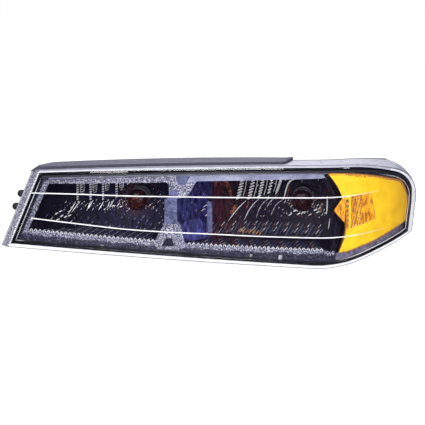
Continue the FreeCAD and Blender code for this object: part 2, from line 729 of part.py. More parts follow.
def top_strip():
    """Ribbed foam strip that lies on the lens's top skirt and closes the gap to the panel above."""
    above = outline("strip_line", [
        (44.0, 55.3), (44.0, 58.6, d.top_bend), (350.0, 65.2), (350.0, 61.9, -d.top_bend)])
    plan = outline("strip_plan", [
        (46.0, 5.0), (56.0, 41.0), (350.0, 66.0), (341.0, 27.0, d.face_bend)], PLAN_VIEW)
    foot = prism("strip_foot", plan, along=UP, reach=120.0)
    node("top_weatherstrip", join("Common", "strip_block", prism("strip_prism", above), foot))


def bumper_studs():
    """Two round-ended rubber pegs on the tub's inboard wall that steady the lamp against its neighbour."""
    studs = []
    for i, (x, z) in enumerate(BUMPERS):
        wall_x = d.low_left_x + d.tub_margin_left + LEFT_SLOPE * (z - d.low_left_z)
        length = wall_x - x - d.tub_wall
        studs.append(cylinder("bumper_" + str(i), d.bumper_radius, length, (x, d.bumper_y, z), ACROSS))
        studs.append(sphere("bumper_end_" + str(i), d.bumper_radius, (x, d.bumper_y, z)))
    node("bumper_studs", join("Fuse", "bumper_studs", *studs))


def bezel_screws():
    """Pan-head screws through the bezel's ears."""
    screws = []
    for i, (x, z) in enumerate(BEZEL_SCREWS):
        head = cylinder("screw_head_" + str(i), 2.2, 1.7, (x, on_layer(x) + 15.5, z), REARWARD)
        shank = cylinder("screw_shank_" + str(i), 1.15, 12.0, (x, on_layer(x) + 17.0, z), REARWARD)
        screws.append(join("Fuse", "screw_" + str(i), head, shank))
    node("bezel_screws", join("Fuse", "bezel_screws", *screws))


def vents():
    """Breather caps over the housing's two necks, with a membrane under each."""
    for side, (x, wall_y, z) in VENTS.items():
        cap = turned("vent_cap_" + side, [
            (5.1, 3.0), (5.1, 10.4), (0.0, 10.4), (0.0, 12.5), (7.0, 12.5, 2.0), (8.5, 10.9), (8.5, 3.0)])
        node("vent_cap_" + side, cap, (x, wall_y, z), REARWARD)
        disc = turned("vent_membrane_" + side, [(0.0, 8.1), (0.0, 8.6), (4.9, 8.6), (4.9, 8.1)])
        node("vent_membrane_" + side, disc, (x, wall_y, z), REARWARD)


# ---------------------------------------------------------------------------------------------------
# Bulbs and twist-lock holders, about the local Z axis that points rearward; z = 0 is the rear wall
# ---------------------------------------------------------------------------------------------------

def holder(side, bore):
    """Holder: nose with a bulb bore, three locking lugs, a flange and a plug receptacle."""
    gap = d.holder_gap
    neck = d.key_radius - gap
    body = turned("holder_body_" + side, [
        (0.0, -d.nose_reach), (0.0, d.barrel_rear), (d.barrel_radius - 1.5, d.barrel_rear),
        (d.barrel_radius, d.barrel_rear - 1.5), (d.barrel_radius, d.flange_high),
        (d.flange_radius, d.flange_high), (d.flange_radius, d.flange_low), (neck, d.flange_low),
        (neck, -7.0), (12.0, -d.nose_reach)])
    lug_top = -(d.tub_wall + gap)
    parts = [body]
    for i, start in enumerate((0, 120, 240)):
        parts.append(lug("lug_" + side + str(i), d.key_lug_radius - 0.4, 12.0, lug_top - 3.0, lug_top,
                         start - d.lug_sweep.value / 2.0, d.lug_sweep))
    for i, x in enumerate((d.barrel_radius - 1.0, -(d.barrel_radius + 3.0))):
        parts.append(box("grip_" + side + str(i), (4.0, 8.0, 15.0), (x, -4.0, d.flange_high)))
    parts.append(plug_box("plug_shell_" + side, 0.0, d.barrel_rear - 2.0))
    cavity = plug_box("plug_cavity_" + side, d.plug_wall, d.plug_floor, 3.0)
    pocket = cylinder("bulb_pocket_" + side, bore, 13.0, (0, 0, -(d.nose_reach + 1.0)))
    solid = join("Fuse", "holder_solid_" + side, *parts)
    node("holder_" + side, cut("holder_" + side, solid, cavity, pocket), LAMPS[side], REARWARD)


def plug_box(name, inset, low, over=0.0):
    """The plug shell's box, or its inside, from a height to the mouth or past it."""
    wide = d.plug_wide - 2.0 * size(inset)
    tall = d.plug_tall - 2.0 * size(inset)
    return box(name, (wide, tall, d.plug_rear + over - low), (-wide / 2.0, -tall / 2.0, low))


def holder_gasket(side):
    """Rubber ring between the holder's flange and the housing."""
    ring = turned("gasket_" + side, [
        (14.6, d.holder_gap), (14.6, d.flange_low), (18.4, d.flange_low), (18.4, d.holder_gap)])
    node("gasket_" + side, ring, LAMPS[side], REARWARD)


def terminals(side):
    """Brass contacts standing in the plug receptacle."""
    blades = []
    for i, x in enumerate((-5.0, 0.0, 5.0)):
        spot = (x - 0.4, -1.5, d.plug_floor)
        blades.append(box("blade_" + side + str(i), (0.8, 3.0, d.blade_length), spot))
    node("terminals_" + side, join("Fuse", "terminals_" + side, *blades), LAMPS[side], REARWARD)


def large_bulb(side):
    """Round wedge-base bulb: hollow glass, a plastic base and two filaments on their wires."""
    out = d.glass_radius
    neck = d.neck_radius
    wall = d.glass_wall
    inner = out - wall
    glass = turned("bulb_" + side, [
        (0.0, -d.glass_tip), (0.0, wall - d.glass_tip), (inner - 3.0, 3.5 - d.glass_tip),
        (inner, -d.glass_wide), (inner, -d.glass_taper), (neck - wall, -d.glass_neck),
        (neck - wall, -22.0), (0.0, -22.0), (0.0, -d.glass_rear), (neck, -d.glass_rear),
        (neck, -(d.glass_neck + 0.5)), (out, -d.glass_taper), (out, -d.glass_wide),
        (out - 3.0, 3.0 - d.glass_tip)])
    node("bulb_" + side, glass, LAMPS[side], REARWARD)
    base = turned("bulb_base_" + side, [
        (0.0, -20.4), (0.0, -3.2), (8.9, -3.2), (8.9, -18.0), (10.6, -18.0), (10.6, -24.0), (8.2, -24.0),
        (8.2, -20.4)])
    node("bulb_base_" + side, base, LAMPS[side], REARWARD)
    filament(side, 0.6, 4.4, -45.0, 0.4, 3.8, 23.3)


def filament(side, coil_radius, coil_half, coil_z, wire_radius, wire_x, wire_length):
    """A straight coil on two support wires that start just in front of it."""
    wires = []
    for i, x in enumerate((-wire_x, wire_x)):
        spot = (x, 0, coil_z - wire_radius * 0.75)
        wires.append(cylinder("wire_" + side + str(i), wire_radius, wire_length, spot))
    coil = cylinder("coil_" + side, coil_radius, 2.0 * coil_half, (-coil_half, 0, coil_z), ACROSS)
    node("filament_" + side, join("Fuse", "filament_" + side, coil, *wires), LAMPS[side], REARWARD)


def small_bulb(side):
    """Capless marker bulb: hollow glass with one filament."""
    out = d.small_glass_radius
    wall = d.glass_wall
    glass = turned("bulb_" + side, [
        (0.0, -d.small_glass_tip), (0.0, 1.0 - d.small_glass_tip), (out - wall - 1.5, -32.2),
        (out - wall, -29.0), (out - wall, -15.0), (0.0, -15.0), (0.0, -3.2), (out, -3.2), (out, -29.5),
        (out - 1.5, -33.0)])
    node("bulb_" + side, glass, LAMPS[side], REARWARD)
    filament(side, 0.45, 2.3, -26.0, 0.3, 1.8, 11.2)


# ---------------------------------------------------------------------------------------------------
# Ball pivots and aim adjuster, about the local Z axis that points rearward
# ---------------------------------------------------------------------------------------------------

def pivot(side):
    """Nylon socket on its tower and the ball stud that it holds; z = 0 is the ball's centre."""
    spot = (PIVOTS[side][0], d.pivot_y, d.pivot_z)
    cup = cylinder("socket_cup_" + side, 8.5, 12.2, (0, 0, -SOCKET_FRONT))
    seat = sphere("socket_seat_" + side, d.ball_radius + d.ball_gap)
    node("pivot_socket_" + side, cut("pivot_socket_" + side, cup, seat), spot, REARWARD)
    ball = sphere("stud_ball_" + side, d.ball_radius)
    neck = cylinder("stud_neck_" + side, 2.6, 8.0, (0, 0, 3.0))
    hexagon = hex_prism("stud_hex_" + side, 6.5, 3.0, 9.0)
    shank_foot = d.stud_reach - d.stud_length - 1.0
    shank = cylinder("stud_shank_" + side, d.stud_radius, d.stud_length + 1.0, (0, 0, shank_foot))
    stud = join("Fuse", "pivot_stud_" + side, ball, neck, hexagon, shank)
    node("pivot_stud_" + side, stud, spot, REARWARD)


def hex_prism(name, radius, height, low):
    """Hexagonal prism about the local Z axis."""
    polygon = doc.addObject("Part::RegularPolygon", name + "_line")
    polygon.Polygon = 6
    bind(polygon, "Circumradius", radius)
    block = doc.addObject("Part::Extrusion", name)
    block.Base = polygon
    block.DirMode = "Custom"
    block.Dir = UP
    block.Solid = True
    bind(block, "LengthFwd", height)
    return place(block, (0, 0, low))


AIM = (d.aim_x, d.wall_outboard, d.aim_z)
FOOT_GAP = 0.1   # adjuster's foot behind the rear wall
GROOVES = 16   # finger grooves round the thumbwheel


def adjuster():
    """Block, thumbwheel nut and ball-ended rod that tilt the lamp about its two ball pivots."""
    side = d.aim_block
    tall = d.aim_block_tall
    block = box("aim_body", (side, tall, side), (-side / 2.0, -tall / 2.0, FOOT_GAP))
    slot = box("aim_slot", (30.0, 30.0, 11.0), (-15.0, -15.0, d.aim_wheel_front - 0.3))
    guide = box("aim_guide", (5.1, 5.1, 14.5), (-2.55, -2.55, 2.0))
    bore = cylinder("aim_bore", d.stud_radius + 0.3, 12.0, (0, 0, 26.0))
    ears = box("aim_ears", (54.0, 12.0, 4.0), (-27.0, -6.0, FOOT_GAP))
    screw_x = (-d.aim_ear_span / 2.0, d.aim_ear_span / 2.0)
    holes = [cylinder("aim_ear_hole" + str(i), 1.8, 6.0, (x, 0, -1.0)) for i, x in enumerate(screw_x)]
    solid = join("Fuse", "aim_solid", block, ears)
    node("adjuster_block", cut("adjuster_block", solid, slot, guide, bore, *holes), AIM, REARWARD)
    screws = []
    for i, x in enumerate(screw_x):
        screws.append(cylinder("aim_screw_head" + str(i), 3.6, 2.4, (x, 0, 4.2)))
        screws.append(cylinder("aim_screw_shank" + str(i), 1.7, 5.0, (x, 0, FOOT_GAP)))
    node("adjuster_screws", join("Fuse", "adjuster_screws", *screws), AIM, REARWARD)
    disc = cylinder("aim_disc", d.aim_wheel_radius, d.aim_wheel_thick, (0, 0, d.aim_wheel_front))
    grooves = []
    for i in range(GROOVES):
        angle = 2.0 * math.pi * i / GROOVES
        reach = d.aim_wheel_radius.value + 0.6
        spot = (reach * math.cos(angle), reach * math.sin(angle), 15.5)
        grooves.append(cylinder("aim_groove" + str(i), 1.7, 12.0, spot))
    thread = cylinder("aim_thread", d.stud_radius + d.aim_bore_gap, 13.0, (0, 0, 15.0))
    node("aim_wheel", cut("aim_wheel", disc, thread, *grooves), AIM, REARWARD)
    half = d.tail_side / 2.0
    tail = box("rod_tail", (d.tail_side, d.tail_side, 6.7), (-half, -half, 6.0))
    waist = cylinder("rod_waist", 2.3, 7.5, (0, 0, 12.0))
    rod = cylinder("rod_shank", d.stud_radius, 27.7, (0, 0, 19.3))
    neck = cylinder("rod_neck", 2.4, 7.0, (0, 0, 46.0))
    ball = sphere("rod_ball", d.ball_radius, (0, 0, d.aim_ball_reach))
    node("aim_rod", join("Fuse", "aim_rod", tail, waist, rod, neck, ball), AIM, REARWARD)


outer_lens()
lens_seal()
housing()
bezel()
reflector("inboard", window_inboard(), d.dish_inboard)
reflector("outboard", window_outboard(), d.dish_outboard)
marker_lens()
marker_reflector()
top_strip()
bumper_studs()
bezel_screws()
vents()
for side, bore in (("inboard", 9.4), ("outboard", 9.4), ("marker", 5.4)):
    holder(side, bore)
    holder_gasket(side)
    terminals(side)
large_bulb("inboard")
large_bulb("outboard")
small_bulb("marker")
for side in PIVOTS:
    pivot(side)
adjuster()

doc.recompute()

for thing in doc.Objects:
    if "Invalid" in thing.State or "Error" in thing.State:
        raise RuntimeError(thing.Label + " did not recompute")
for name, thing in nodes.items():
    shape = thing.Shape
    if shape.isNull() or not shape.isValid() or not shape.Solids:
        raise RuntimeError(name + " has no valid shape")

os.makedirs("parts", exist_ok=True)
for name, thing in nodes.items():
    thing.Shape.exportStep("parts/" + name + ".step")
    print(name, len(thing.Shape.Solids), round(thing.Shape.Volume / 1000.0, 2))
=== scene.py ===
"""Left-hand front lamp: clear lens, two dark reflector bays, amber marker end, black rear tub."""
import json
from math import ceil, cos, floor, hypot, pi, radians, sin, sqrt, tan

import bmesh
import bpy
import numpy as np
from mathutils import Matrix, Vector
from mathutils.geometry import delaunay_2d_cdt


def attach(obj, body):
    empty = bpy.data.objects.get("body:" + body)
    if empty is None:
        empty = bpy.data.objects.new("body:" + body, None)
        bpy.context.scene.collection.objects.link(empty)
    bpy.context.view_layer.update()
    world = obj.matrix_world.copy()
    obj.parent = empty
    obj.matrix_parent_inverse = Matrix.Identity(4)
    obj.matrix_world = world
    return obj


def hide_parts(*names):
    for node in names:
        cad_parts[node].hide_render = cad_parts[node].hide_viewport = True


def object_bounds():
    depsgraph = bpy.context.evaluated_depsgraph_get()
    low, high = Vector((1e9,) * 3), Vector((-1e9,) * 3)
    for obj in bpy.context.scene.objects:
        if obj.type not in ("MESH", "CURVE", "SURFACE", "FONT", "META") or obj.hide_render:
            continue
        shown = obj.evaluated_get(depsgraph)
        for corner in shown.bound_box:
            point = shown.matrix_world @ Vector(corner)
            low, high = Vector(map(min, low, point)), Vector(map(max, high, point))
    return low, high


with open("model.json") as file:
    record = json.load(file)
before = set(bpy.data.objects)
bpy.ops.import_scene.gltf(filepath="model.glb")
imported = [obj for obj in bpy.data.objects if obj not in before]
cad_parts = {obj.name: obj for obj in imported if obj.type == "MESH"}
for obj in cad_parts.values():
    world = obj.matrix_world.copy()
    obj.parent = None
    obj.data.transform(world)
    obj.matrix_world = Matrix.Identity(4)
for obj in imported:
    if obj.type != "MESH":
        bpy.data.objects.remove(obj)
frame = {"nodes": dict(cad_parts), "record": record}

CAD_BOX = [list(corner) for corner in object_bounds()]
NODES = frame["nodes"]
BODY = "lamp"

# ---- the lamp's own millimetres: x outboard, y rearward, z up; the lens's front surface touches y = 0
ORIGIN = Vector((62, 175, 30))
FACE_X, FACE_R = 120, 1226
WRAP_R = 185
TURN = radians(12)
END = radians(66.5)
WRAP_X = FACE_X + (FACE_R - WRAP_R) * sin(TURN)
WRAP_Y = FACE_R - (FACE_R - WRAP_R) * cos(TURN)
LEFT_SLOPE = 42.3 / 95.5
BEVEL_WIDE, BEVEL_DEEP = 9.5, 8
SKIRT = 38
LAST_X, TOP_Z, STRIP_TOP = 506.05, 65.4, 65.45
LAMPS = {"inboard": (158.5, 95, 12), "outboard": (361, 130, 8), "marker": (430, 142, -4)}


def at(x, y, z):
    """A place on the lamp, in metres in the frame's axes."""
    return (Vector((x, y, z)) - ORIGIN) / 1000


def skin(x, depth=0):
    """y at a depth behind the lens's front surface."""
    if x <= FACE_X + (FACE_R - depth) * sin(TURN):
        return FACE_R - sqrt((FACE_R - depth) ** 2 - (x - FACE_X) ** 2)
    return WRAP_Y - sqrt(max((WRAP_R - depth) ** 2 - (x - WRAP_X) ** 2, 0))


def end_plane(x, inset=0):
    """y of the plane that ends the wrapped side of the lens."""
    return WRAP_Y - (x - WRAP_X + inset / cos(END)) / tan(END)


def on_end(x, depth, inset):
    """y at a depth, held in front of the plane that ends the wrap."""
    return min(skin(x, depth), end_plane(x, inset))


def left_x(z):
    """x of the lens's slanted inboard edge."""
    return -5.5 + (z + 41) * LEFT_SLOPE


def sheet(depth, margin=None):
    """Puts front-view points on the surface at a depth, a margin short of the end plane if one is given."""
    if margin is None:
        return lambda p: (p.x, skin(p.x, depth), p.y)
    return lambda p: (p.x, on_end(p.x, depth, margin), p.y)


# ---- outlines in the front view
def bow(away, half, r):
    """Rise of an arc over its chord, at a distance from the chord's middle."""
    return sqrt(r * r - away * away) - sqrt(r * r - half * half)


def outline(corners, step=2):
    """Points round a clockwise outline. A corner's third number bends the edge after it, out if positive."""
    line = []
    for i, corner in enumerate(corners):
        a, b = Vector(corner[:2]), Vector(corners[(i + 1) % len(corners)][:2])
        chord = b - a
        count = max(1, ceil(chord.length / step))
        left = Vector((-chord.y, chord.x)).normalized()
        for k in range(count):
            point = a.lerp(b, k / count)
            if len(corner) == 3:
                bulge = bow((k / count - 0.5) * chord.length, chord.length / 2, abs(corner[2]))
                point += left * (bulge if corner[2] > 0 else -bulge)
            line.append(point)
    return line


def inset(line, amount):
    """The same clockwise outline, drawn inside itself."""
    count = len(line)
    moved = []
    for i, point in enumerate(line):
        before = (point - line[i - 1]).normalized()
        after = (line[(i + 1) % count] - point).normalized()
        one, two = Vector((before.y, -before.x)), Vector((after.y, -after.x))
        mid = (one + two).normalized()
        moved.append(point + mid * amount / max(0.35, mid.dot(one)))
    return moved


def lens_line(top=0, low=0, left=0, right=0):
    """The lens's outline, drawn inside itself by a margin for each side."""
    chin = (-37.5 + 58) / 62
    line = outline([
        (-5.5 + left + LEFT_SLOPE * low, -41 + low),
        (36.8 + left - LEFT_SLOPE * top, 54.5 - top, 4600),
        (412, 60.5 - top, 193 - top),
        (474 - 0.33 * right, 50.3 - 0.95 * top, 45 - right),
        (506 - right, 1),
        (502 - right, -37.5 + 1.06 * low - chin * right),
        (440, -58 + 1.03 * low, 160 - low),
        (376, -66.5 + low, -8800),
    ])
    return [Vector((min(p.x, LAST_X - right), min(p.y, TOP_Z - top))) for p in line]


def inside(points, line):
    """True for each point that an outline surrounds."""
    poly = np.array([tuple(p) for p in line])
    x, z = points[:, 0][:, None], points[:, 1][:, None]
    x0, z0 = poly[:, 0][None], poly[:, 1][None]
    x1, z1 = np.roll(poly[:, 0], -1)[None], np.roll(poly[:, 1], -1)[None]
    span = np.where(z1 == z0, 1e-9, z1 - z0)
    hits = ((z0 > z) != (z1 > z)) & (x < (x1 - x0) * (z - z0) / span + x0)
    return hits.sum(1) % 2 == 1


def within(points, outer, holes):
    """True for each point that the outer line surrounds and no hole does."""
    keep = inside(points, outer)
    for hole in holes:
        keep &= ~inside(points, hole)
    return keep


def fill(outer, holes=(), spacing=4, lines=()):
    """Points and triangles that fill an outline with holes. Open lines stay as edges."""
    points, edges = [], []
    for line, spare in [(loop, 0) for loop in (outer, *holes)] + [(line, 1) for line in lines]:
        first, count = len(points), len(line)
        points += [tuple(p) for p in line]
        edges += [(first + i, first + (i + 1) % count) for i in range(count - spare)]
    rim = np.array(points)
    low, high = rim.min(0) + spacing / 2, rim.max(0)
    gx, gz = np.meshgrid(np.arange(low[0], high[0], spacing), np.arange(low[1], high[1], spacing))
    grid = np.stack([gx.ravel(), gz.ravel()], 1)
    grid = grid[within(grid, outer, holes)]
    near = np.array([np.min(np.hypot(*(rim - p).T)) for p in grid])
    points += [tuple(p) for p in grid[near > spacing * 0.45]]
    found, _, tris, *_ = delaunay_2d_cdt([Vector(p) for p in points], edges, [], 0, 1e-6)
    flat = np.array([tuple(p) for p in found])
    middle = np.array([flat[list(f)].mean(0) for f in tris])
    return [Vector(p) for p in flat], [list(f) for f, k in zip(tris, within(middle, outer, holes)) if k]


def middles(points, tris):
    """The middle of each triangle of a filled outline."""
    return np.array([np.mean([tuple(points[i]) for i in f], axis=0) for f in tris])


# ---- pieces
MERGE = 2e-6
SMALL_HOLE = 12


def in_scene(name, data):
    """A new object in the scene."""
    obj = bpy.data.objects.new(name, data)
    bpy.context.scene.collection.objects.link(obj)
    return obj


class Shell:
    """Vertices, faces and each face's material, gathered in lamp millimetres."""

    def __init__(self):
        self.verts, self.faces, self.kinds = [], [], []

    def take(self, verts, faces, kinds=0):
        """More faces on vertices of their own; kinds is one number or a list."""
        first = len(self.verts)
        self.verts += verts
        self.faces += [[first + i for i in f] for f in faces]
        self.kinds += kinds if isinstance(kinds, list) else [kinds] * len(faces)

    def rings(self, loops, kinds=0, joined=False, capped=False):
        """Bands of quads between closed loops of the same length, joined end to end or capped on request."""
        count, bands = len(loops[0]), len(loops) if joined else len(loops) - 1
        faces, which = [], []
        for k in range(bands):
            a, b = k * count, (k + 1) % len(loops) * count
            faces += [[a + i, a + (i + 1) % count, b + (i + 1) % count, b + i] for i in range(count)]
            which += [kinds[k] if isinstance(kinds, list) else kinds] * count
        if capped:
            faces += [list(range(count)), [bands * count + i for i in reversed(range(count))]]
            which += [kinds] * 2
        self.take([p for loop in loops for p in loop], faces, which)

    def thick(self, points, tris, front, back, kinds=0, side=0):
        """A filled outline mapped by front, and again by back, joined round its edges."""
        count = len(points)
        edges = dict.fromkeys((a, b) for f in tris for a, b in zip(f, f[1:] + f[:1]))
        sides = [[b, a, a + count, b + count] for a, b in edges if (b, a) not in edges]
        if isinstance(kinds, list):
            kinds = kinds * 2 + [side] * len(sides)
        faces = [*tris, *([i + count for i in reversed(f)] for f in tris), *sides]
        self.take([front(p) for p in points] + [back(p) for p in points], faces, kinds)

    def add(self, name, slot, materials, stands_for=(), sharp=38, soften=0):
        """Make the piece, which rides on the lamp; stands_for names the CAD nodes that it replaces."""
        mesh = bpy.data.meshes.new(name)
        mesh.from_pydata([at(*v) for v in self.verts], [], self.faces)
        mesh.polygons.foreach_set("material_index", self.kinds)
        bm = bmesh.new()
        bm.from_mesh(mesh)
        bmesh.ops.remove_doubles(bm, verts=bm.verts, dist=MERGE)
        bmesh.ops.holes_fill(bm, edges=[e for e in bm.edges if len(e.link_faces) == 1], sides=SMALL_HOLE)
        bmesh.ops.recalc_face_normals(bm, faces=bm.faces)
        for face in bm.faces:
            face.smooth = True
        for edge in bm.edges:
            edge.smooth = len(edge.link_faces) == 2 and edge.calc_face_angle(0) < radians(sharp)
        bm.to_mesh(mesh)
        bm.free()
        obj = in_scene(name, mesh)
        for material in materials:
            mesh.materials.append(material)
        if soften:
            bevel = obj.modifiers.new("soft edges", "BEVEL")
            bevel.width, bevel.segments = soften / 1000, 2
            bevel.limit_method, bevel.angle_limit = "ANGLE", radians(sharp)
            bevel.harden_normals = True
        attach(obj, BODY)
        if stands_for:
            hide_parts(*stands_for)


# ---- materials
EVEN = (1, 1, 1)


class Nodes:
    """Makes and links the nodes of a material or a world."""

    def __init__(self, owner):
        owner.use_nodes = True
        self.tree = owner.node_tree
        self.tree.nodes.clear()

    def node(self, kind, inputs=None, **fields):
        """A shader node with some of its inputs and fields set."""
        made = self.tree.nodes.new(kind)
        for field, value in fields.items():
            setattr(made, field, value)
        for socket, value in (inputs or {}).items():
            made.inputs[socket].default_value = value
        return made

    def link(self, a, out, b, into):
        self.tree.links.new(a.outputs[out], b.inputs[into])


class Finish(Nodes):
    """A procedural material: a Principled shader with object-space detail."""

    def __init__(self, name, colour, rough=0.5, metal=0, **sockets):
        self.made = bpy.data.materials.new(name)
        super().__init__(self.made)
        self.out = self.node("ShaderNodeOutputMaterial")
        own = {"Base Color": (*colour, 1), "Roughness": rough, "Metallic": metal}
        own.update({socket.replace("_", " "): value for socket, value in sockets.items()})
        self.shader = self.node("ShaderNodeBsdfPrincipled", own)
        self.link(self.shader, "BSDF", self.out, "Surface")
        self.place = self.node("ShaderNodeTexCoord")
        self.bumped = None

    def pattern(self, kind, stretch, turn, inputs):
        """A texture by position, stretched along the axes and turned by degrees about the view axis."""
        moved = self.node("ShaderNodeMapping", {"Scale": stretch, "Rotation": (0, radians(turn), 0)})
        self.link(self.place, "Object", moved, "Vector")
        made = self.node(kind, inputs)
        self.link(moved, "Vector", made, "Vector")
        return made

    def noise(self, scale, detail=3, stretch=EVEN, rough=0.55, turn=0):
        """Noise; scale is in cells a metre."""
        inputs = {"Scale": scale, "Detail": detail, "Roughness": rough}
        return self.pattern("ShaderNodeTexNoise", stretch, turn, inputs)

    def ramp(self, source, stops, out="Fac"):
        """A colour ramp; stops are (place, colour)."""
        made = self.node("ShaderNodeValToRGB")
        bar = made.color_ramp.elements
        while len(bar) < len(stops):
            bar.new(0.5)
        for mark, (place, colour) in zip(bar, stops):
            mark.position = place
            mark.color = (*colour, 1)
        self.link(source, out, made, "Fac")
        return made

    def ranged(self, source, out, start, stop, low=0, high=1):
        """A value moved from the span start to stop into the span low to high."""
        inputs = {"From Min": start, "From Max": stop, "To Min": low, "To Max": high}
        made = self.node("ShaderNodeMapRange", inputs)
        self.link(source, out, made, "Value")
        return made

    def along(self, start, stop):
        """0 to 1 between two x places."""
        apart = self.node("ShaderNodeSeparateXYZ")
        self.link(self.place, "Object", apart, "Vector")
        return self.ranged(apart, "X", at(start, 0, 0).x, at(stop, 0, 0).x)

    def shaded(self, base, out, shade, stops):
        """The base colour, multiplied by a ramp of another texture."""
        made = self.node("ShaderNodeMix", data_type="RGBA", blend_type="MULTIPLY")
        made.inputs["Factor"].default_value = 1
        self.link(base, out, made, "A")
        self.link(self.ramp(shade, stops), "Color", made, "B")
        self.link(made, "Result", self.shader, "Base Color")

    def colour(self, source, stops, out="Fac"):
        """Colour by a ramp of a texture."""
        self.link(self.ramp(source, stops, out), "Color", self.shader, "Base Color")

    def rough(self, source, low, high, start=0.3, stop=0.7):
        """Roughness between two values by a texture."""
        self.link(self.ranged(source, "Fac", start, stop, low, high), "Result", self.shader, "Roughness")

    def bump(self, source, strength, height, out="Fac"):
        """Relief; height is in millimetres."""
        made = self.node("ShaderNodeBump", {"Strength": strength, "Distance": height / 1000})
        self.link(source, out, made, "Height")
        if self.bumped:
            self.link(self.bumped, "Normal", made, "Normal")
        self.link(made, "Normal", self.shader, "Normal")
        self.bumped = made

    def lets_lamps_through(self):
        """Shadow rays pass, so that what is behind the plastic is lit."""
        path = self.node("ShaderNodeLightPath")
        mix = self.node("ShaderNodeMixShader")
        self.link(path, "Is Shadow Ray", mix, "Fac")
        self.link(self.shader, "BSDF", mix, 1)
        self.link(self.node("ShaderNodeBsdfTransparent"), "BSDF", mix, 2)
        self.link(mix, "Shader", self.out, "Surface")


def moulded(name, colour, rough=0.45, grain=0.05, scale=1800, blotch=0.25):
    """Moulded plastic: fine spark grain, slow gloss changes and a slightly uneven colour."""
    made = Finish(name, colour, rough)
    fine, slow = made.noise(scale, 2), made.noise(45)
    low = tuple(c * (1 - blotch) for c in colour)
    high = tuple(min(1, c * (1 + blotch)) for c in colour)
    made.colour(slow, [(0.3, low), (0.7, high)])
    made.rough(slow, rough * 0.85, min(1, rough * 1.2))
    made.bump(fine, 0.6, grain)
    return made.made


def metal(name, colour, rough):
    """Drawn or plated metal with fine lengthwise lines."""
    made = Finish(name, colour, rough, 1)
    fine = made.noise(900, 4, (1, 0.08, 1))
    made.colour(fine, [(0.3, tuple(c * 0.82 for c in colour)), (0.7, colour)])
    made.rough(fine, rough * 0.7, rough * 1.3)
    made.bump(fine, 0.5, 0.01)
    return made.made


def speckled(name, stops, scale, rough, shine, relief, turn=0, stretch=EVEN):
    """Grains between colours, with relief to match; stops are (place, colour)."""
    made = Finish(name, stops[len(stops) // 2][1], rough, shine)
    grains = made.noise(scale, 2.5, stretch, 0.6, turn)
    made.colour(grains, stops)
    made.rough(grains, min(1, rough * 1.3), rough * 0.7)
    made.bump(grains, 0.8, relief)
    return made.made


def clear_plastic():
    """Gloss polycarbonate with a faint haze."""
    made = Finish("clear polycarbonate", (0.985, 0.99, 1), 0.015, Transmission_Weight=1, IOR=1.5)
    made.rough(made.noise(60, 2), 0, 0.03, 0.45, 0.8)
    made.lets_lamps_through()
    return made.made


def smoked_chrome(name, bulb_reflection_spot, bulb_reflection_reach, tints):
    """Dark mirror with painted reflections: tints along x, mottled diagonal streaks as painted highlights and
    shade, and an amber patch round its bulb. tints are (x place, colour).
    """
    made = Finish(name, (0.03, 0.03, 0.08), 0.3, Specular_IOR_Level=0.12)
    spot = made.node("ShaderNodeVectorMath", operation="DISTANCE")
    made.link(made.place, "Object", spot, 0)
    spot.inputs[1].default_value = at(*bulb_reflection_spot)
    # Colour by x place: painted reflections across the bowl.
    start, stop = tints[0][0], tints[-1][0]
    stops = [((x - start) / (stop - start), colour) for x, colour in tints]
    base = made.ramp(made.along(start, stop), stops, "Result")
    streaks = made.noise(330, 3, (1, 1, 0.28), 0.65, -48)
    flecks = made.noise(900, 2)
    # Flecked amber patch near the bulb: painted reflection of the bulb's amber glass.
    near = made.ranged(spot, "Value", 0, bulb_reflection_reach / 1000, 1, 0)
    share = made.node("ShaderNodeMath", operation="MULTIPLY")
    made.link(near, "Result", share, 0)
    made.link(made.ramp(flecks, [(0.42, (0, 0, 0)), (0.6, EVEN)]), "Color", share, 1)
    bulb_reflection = made.node("ShaderNodeMix", {"B": (0.28, 0.055, 0.015, 1)}, data_type="RGBA")
    made.link(share, "Value", bulb_reflection, "Factor")
    made.link(base, "Color", bulb_reflection, "A")
    # Streaks scale the colour from 0.12 to 2.4 times: painted shade and painted highlights.
    made.shaded(bulb_reflection, "Result", streaks, [(0.36, (0.12, 0.12, 0.14)), (0.56, EVEN), (0.72, (2.4, 2.2, 2.6))])
    made.rough(streaks, 0.25, 0.5)
    made.bump(streaks, 0.7, 0.9)
    made.bump(flecks, 0.5, 0.3)
    return made.made


def tinted(name, near, far, start, stop, rough, grain):
    """Gloss plastic whose colour drifts from near to far between two x places."""
    made = Finish(name, near, rough)
    base = made.ramp(made.along(start, stop), [(0, near), (1, far)], "Result")
    made.shaded(base, "Color", made.noise(70), [(0.3, (0.86, 0.84, 0.8)), (0.6, EVEN)])
    made.bump(made.noise(500, 2), 0.3, grain)
    return made.made


def bulb_glass():
    """Amber-coated glass, thin enough to see its filament; its near-black colour with amber mottles is
    painted shade with painted reflections.
    """
    made = Finish("amber bulb glass", (1, 0.42, 0.06), 0.05, Transmission_Weight=0.55, IOR=1.3)
    painted_shade_mottle = [(0.42, (0.006, 0.002, 0.004)), (0.53, (0.035, 0.009, 0.008)), (0.67, (0.32, 0.08, 0.03))]
    made.colour(made.noise(420, 2.5), painted_shade_mottle)
    made.lets_lamps_through()
    return made.made


def foam(name, low, high):
    """Closed-cell foam rubber."""
    made = Finish(name, low, 0.62)
    pores = made.pattern("ShaderNodeTexVoronoi", EVEN, 0, {"Scale": 750})
    made.colour(pores, [(0.1, low), (0.6, high)], "Distance")
    made.bump(pores, 0.6, 0.22, "Distance")
    return made.made


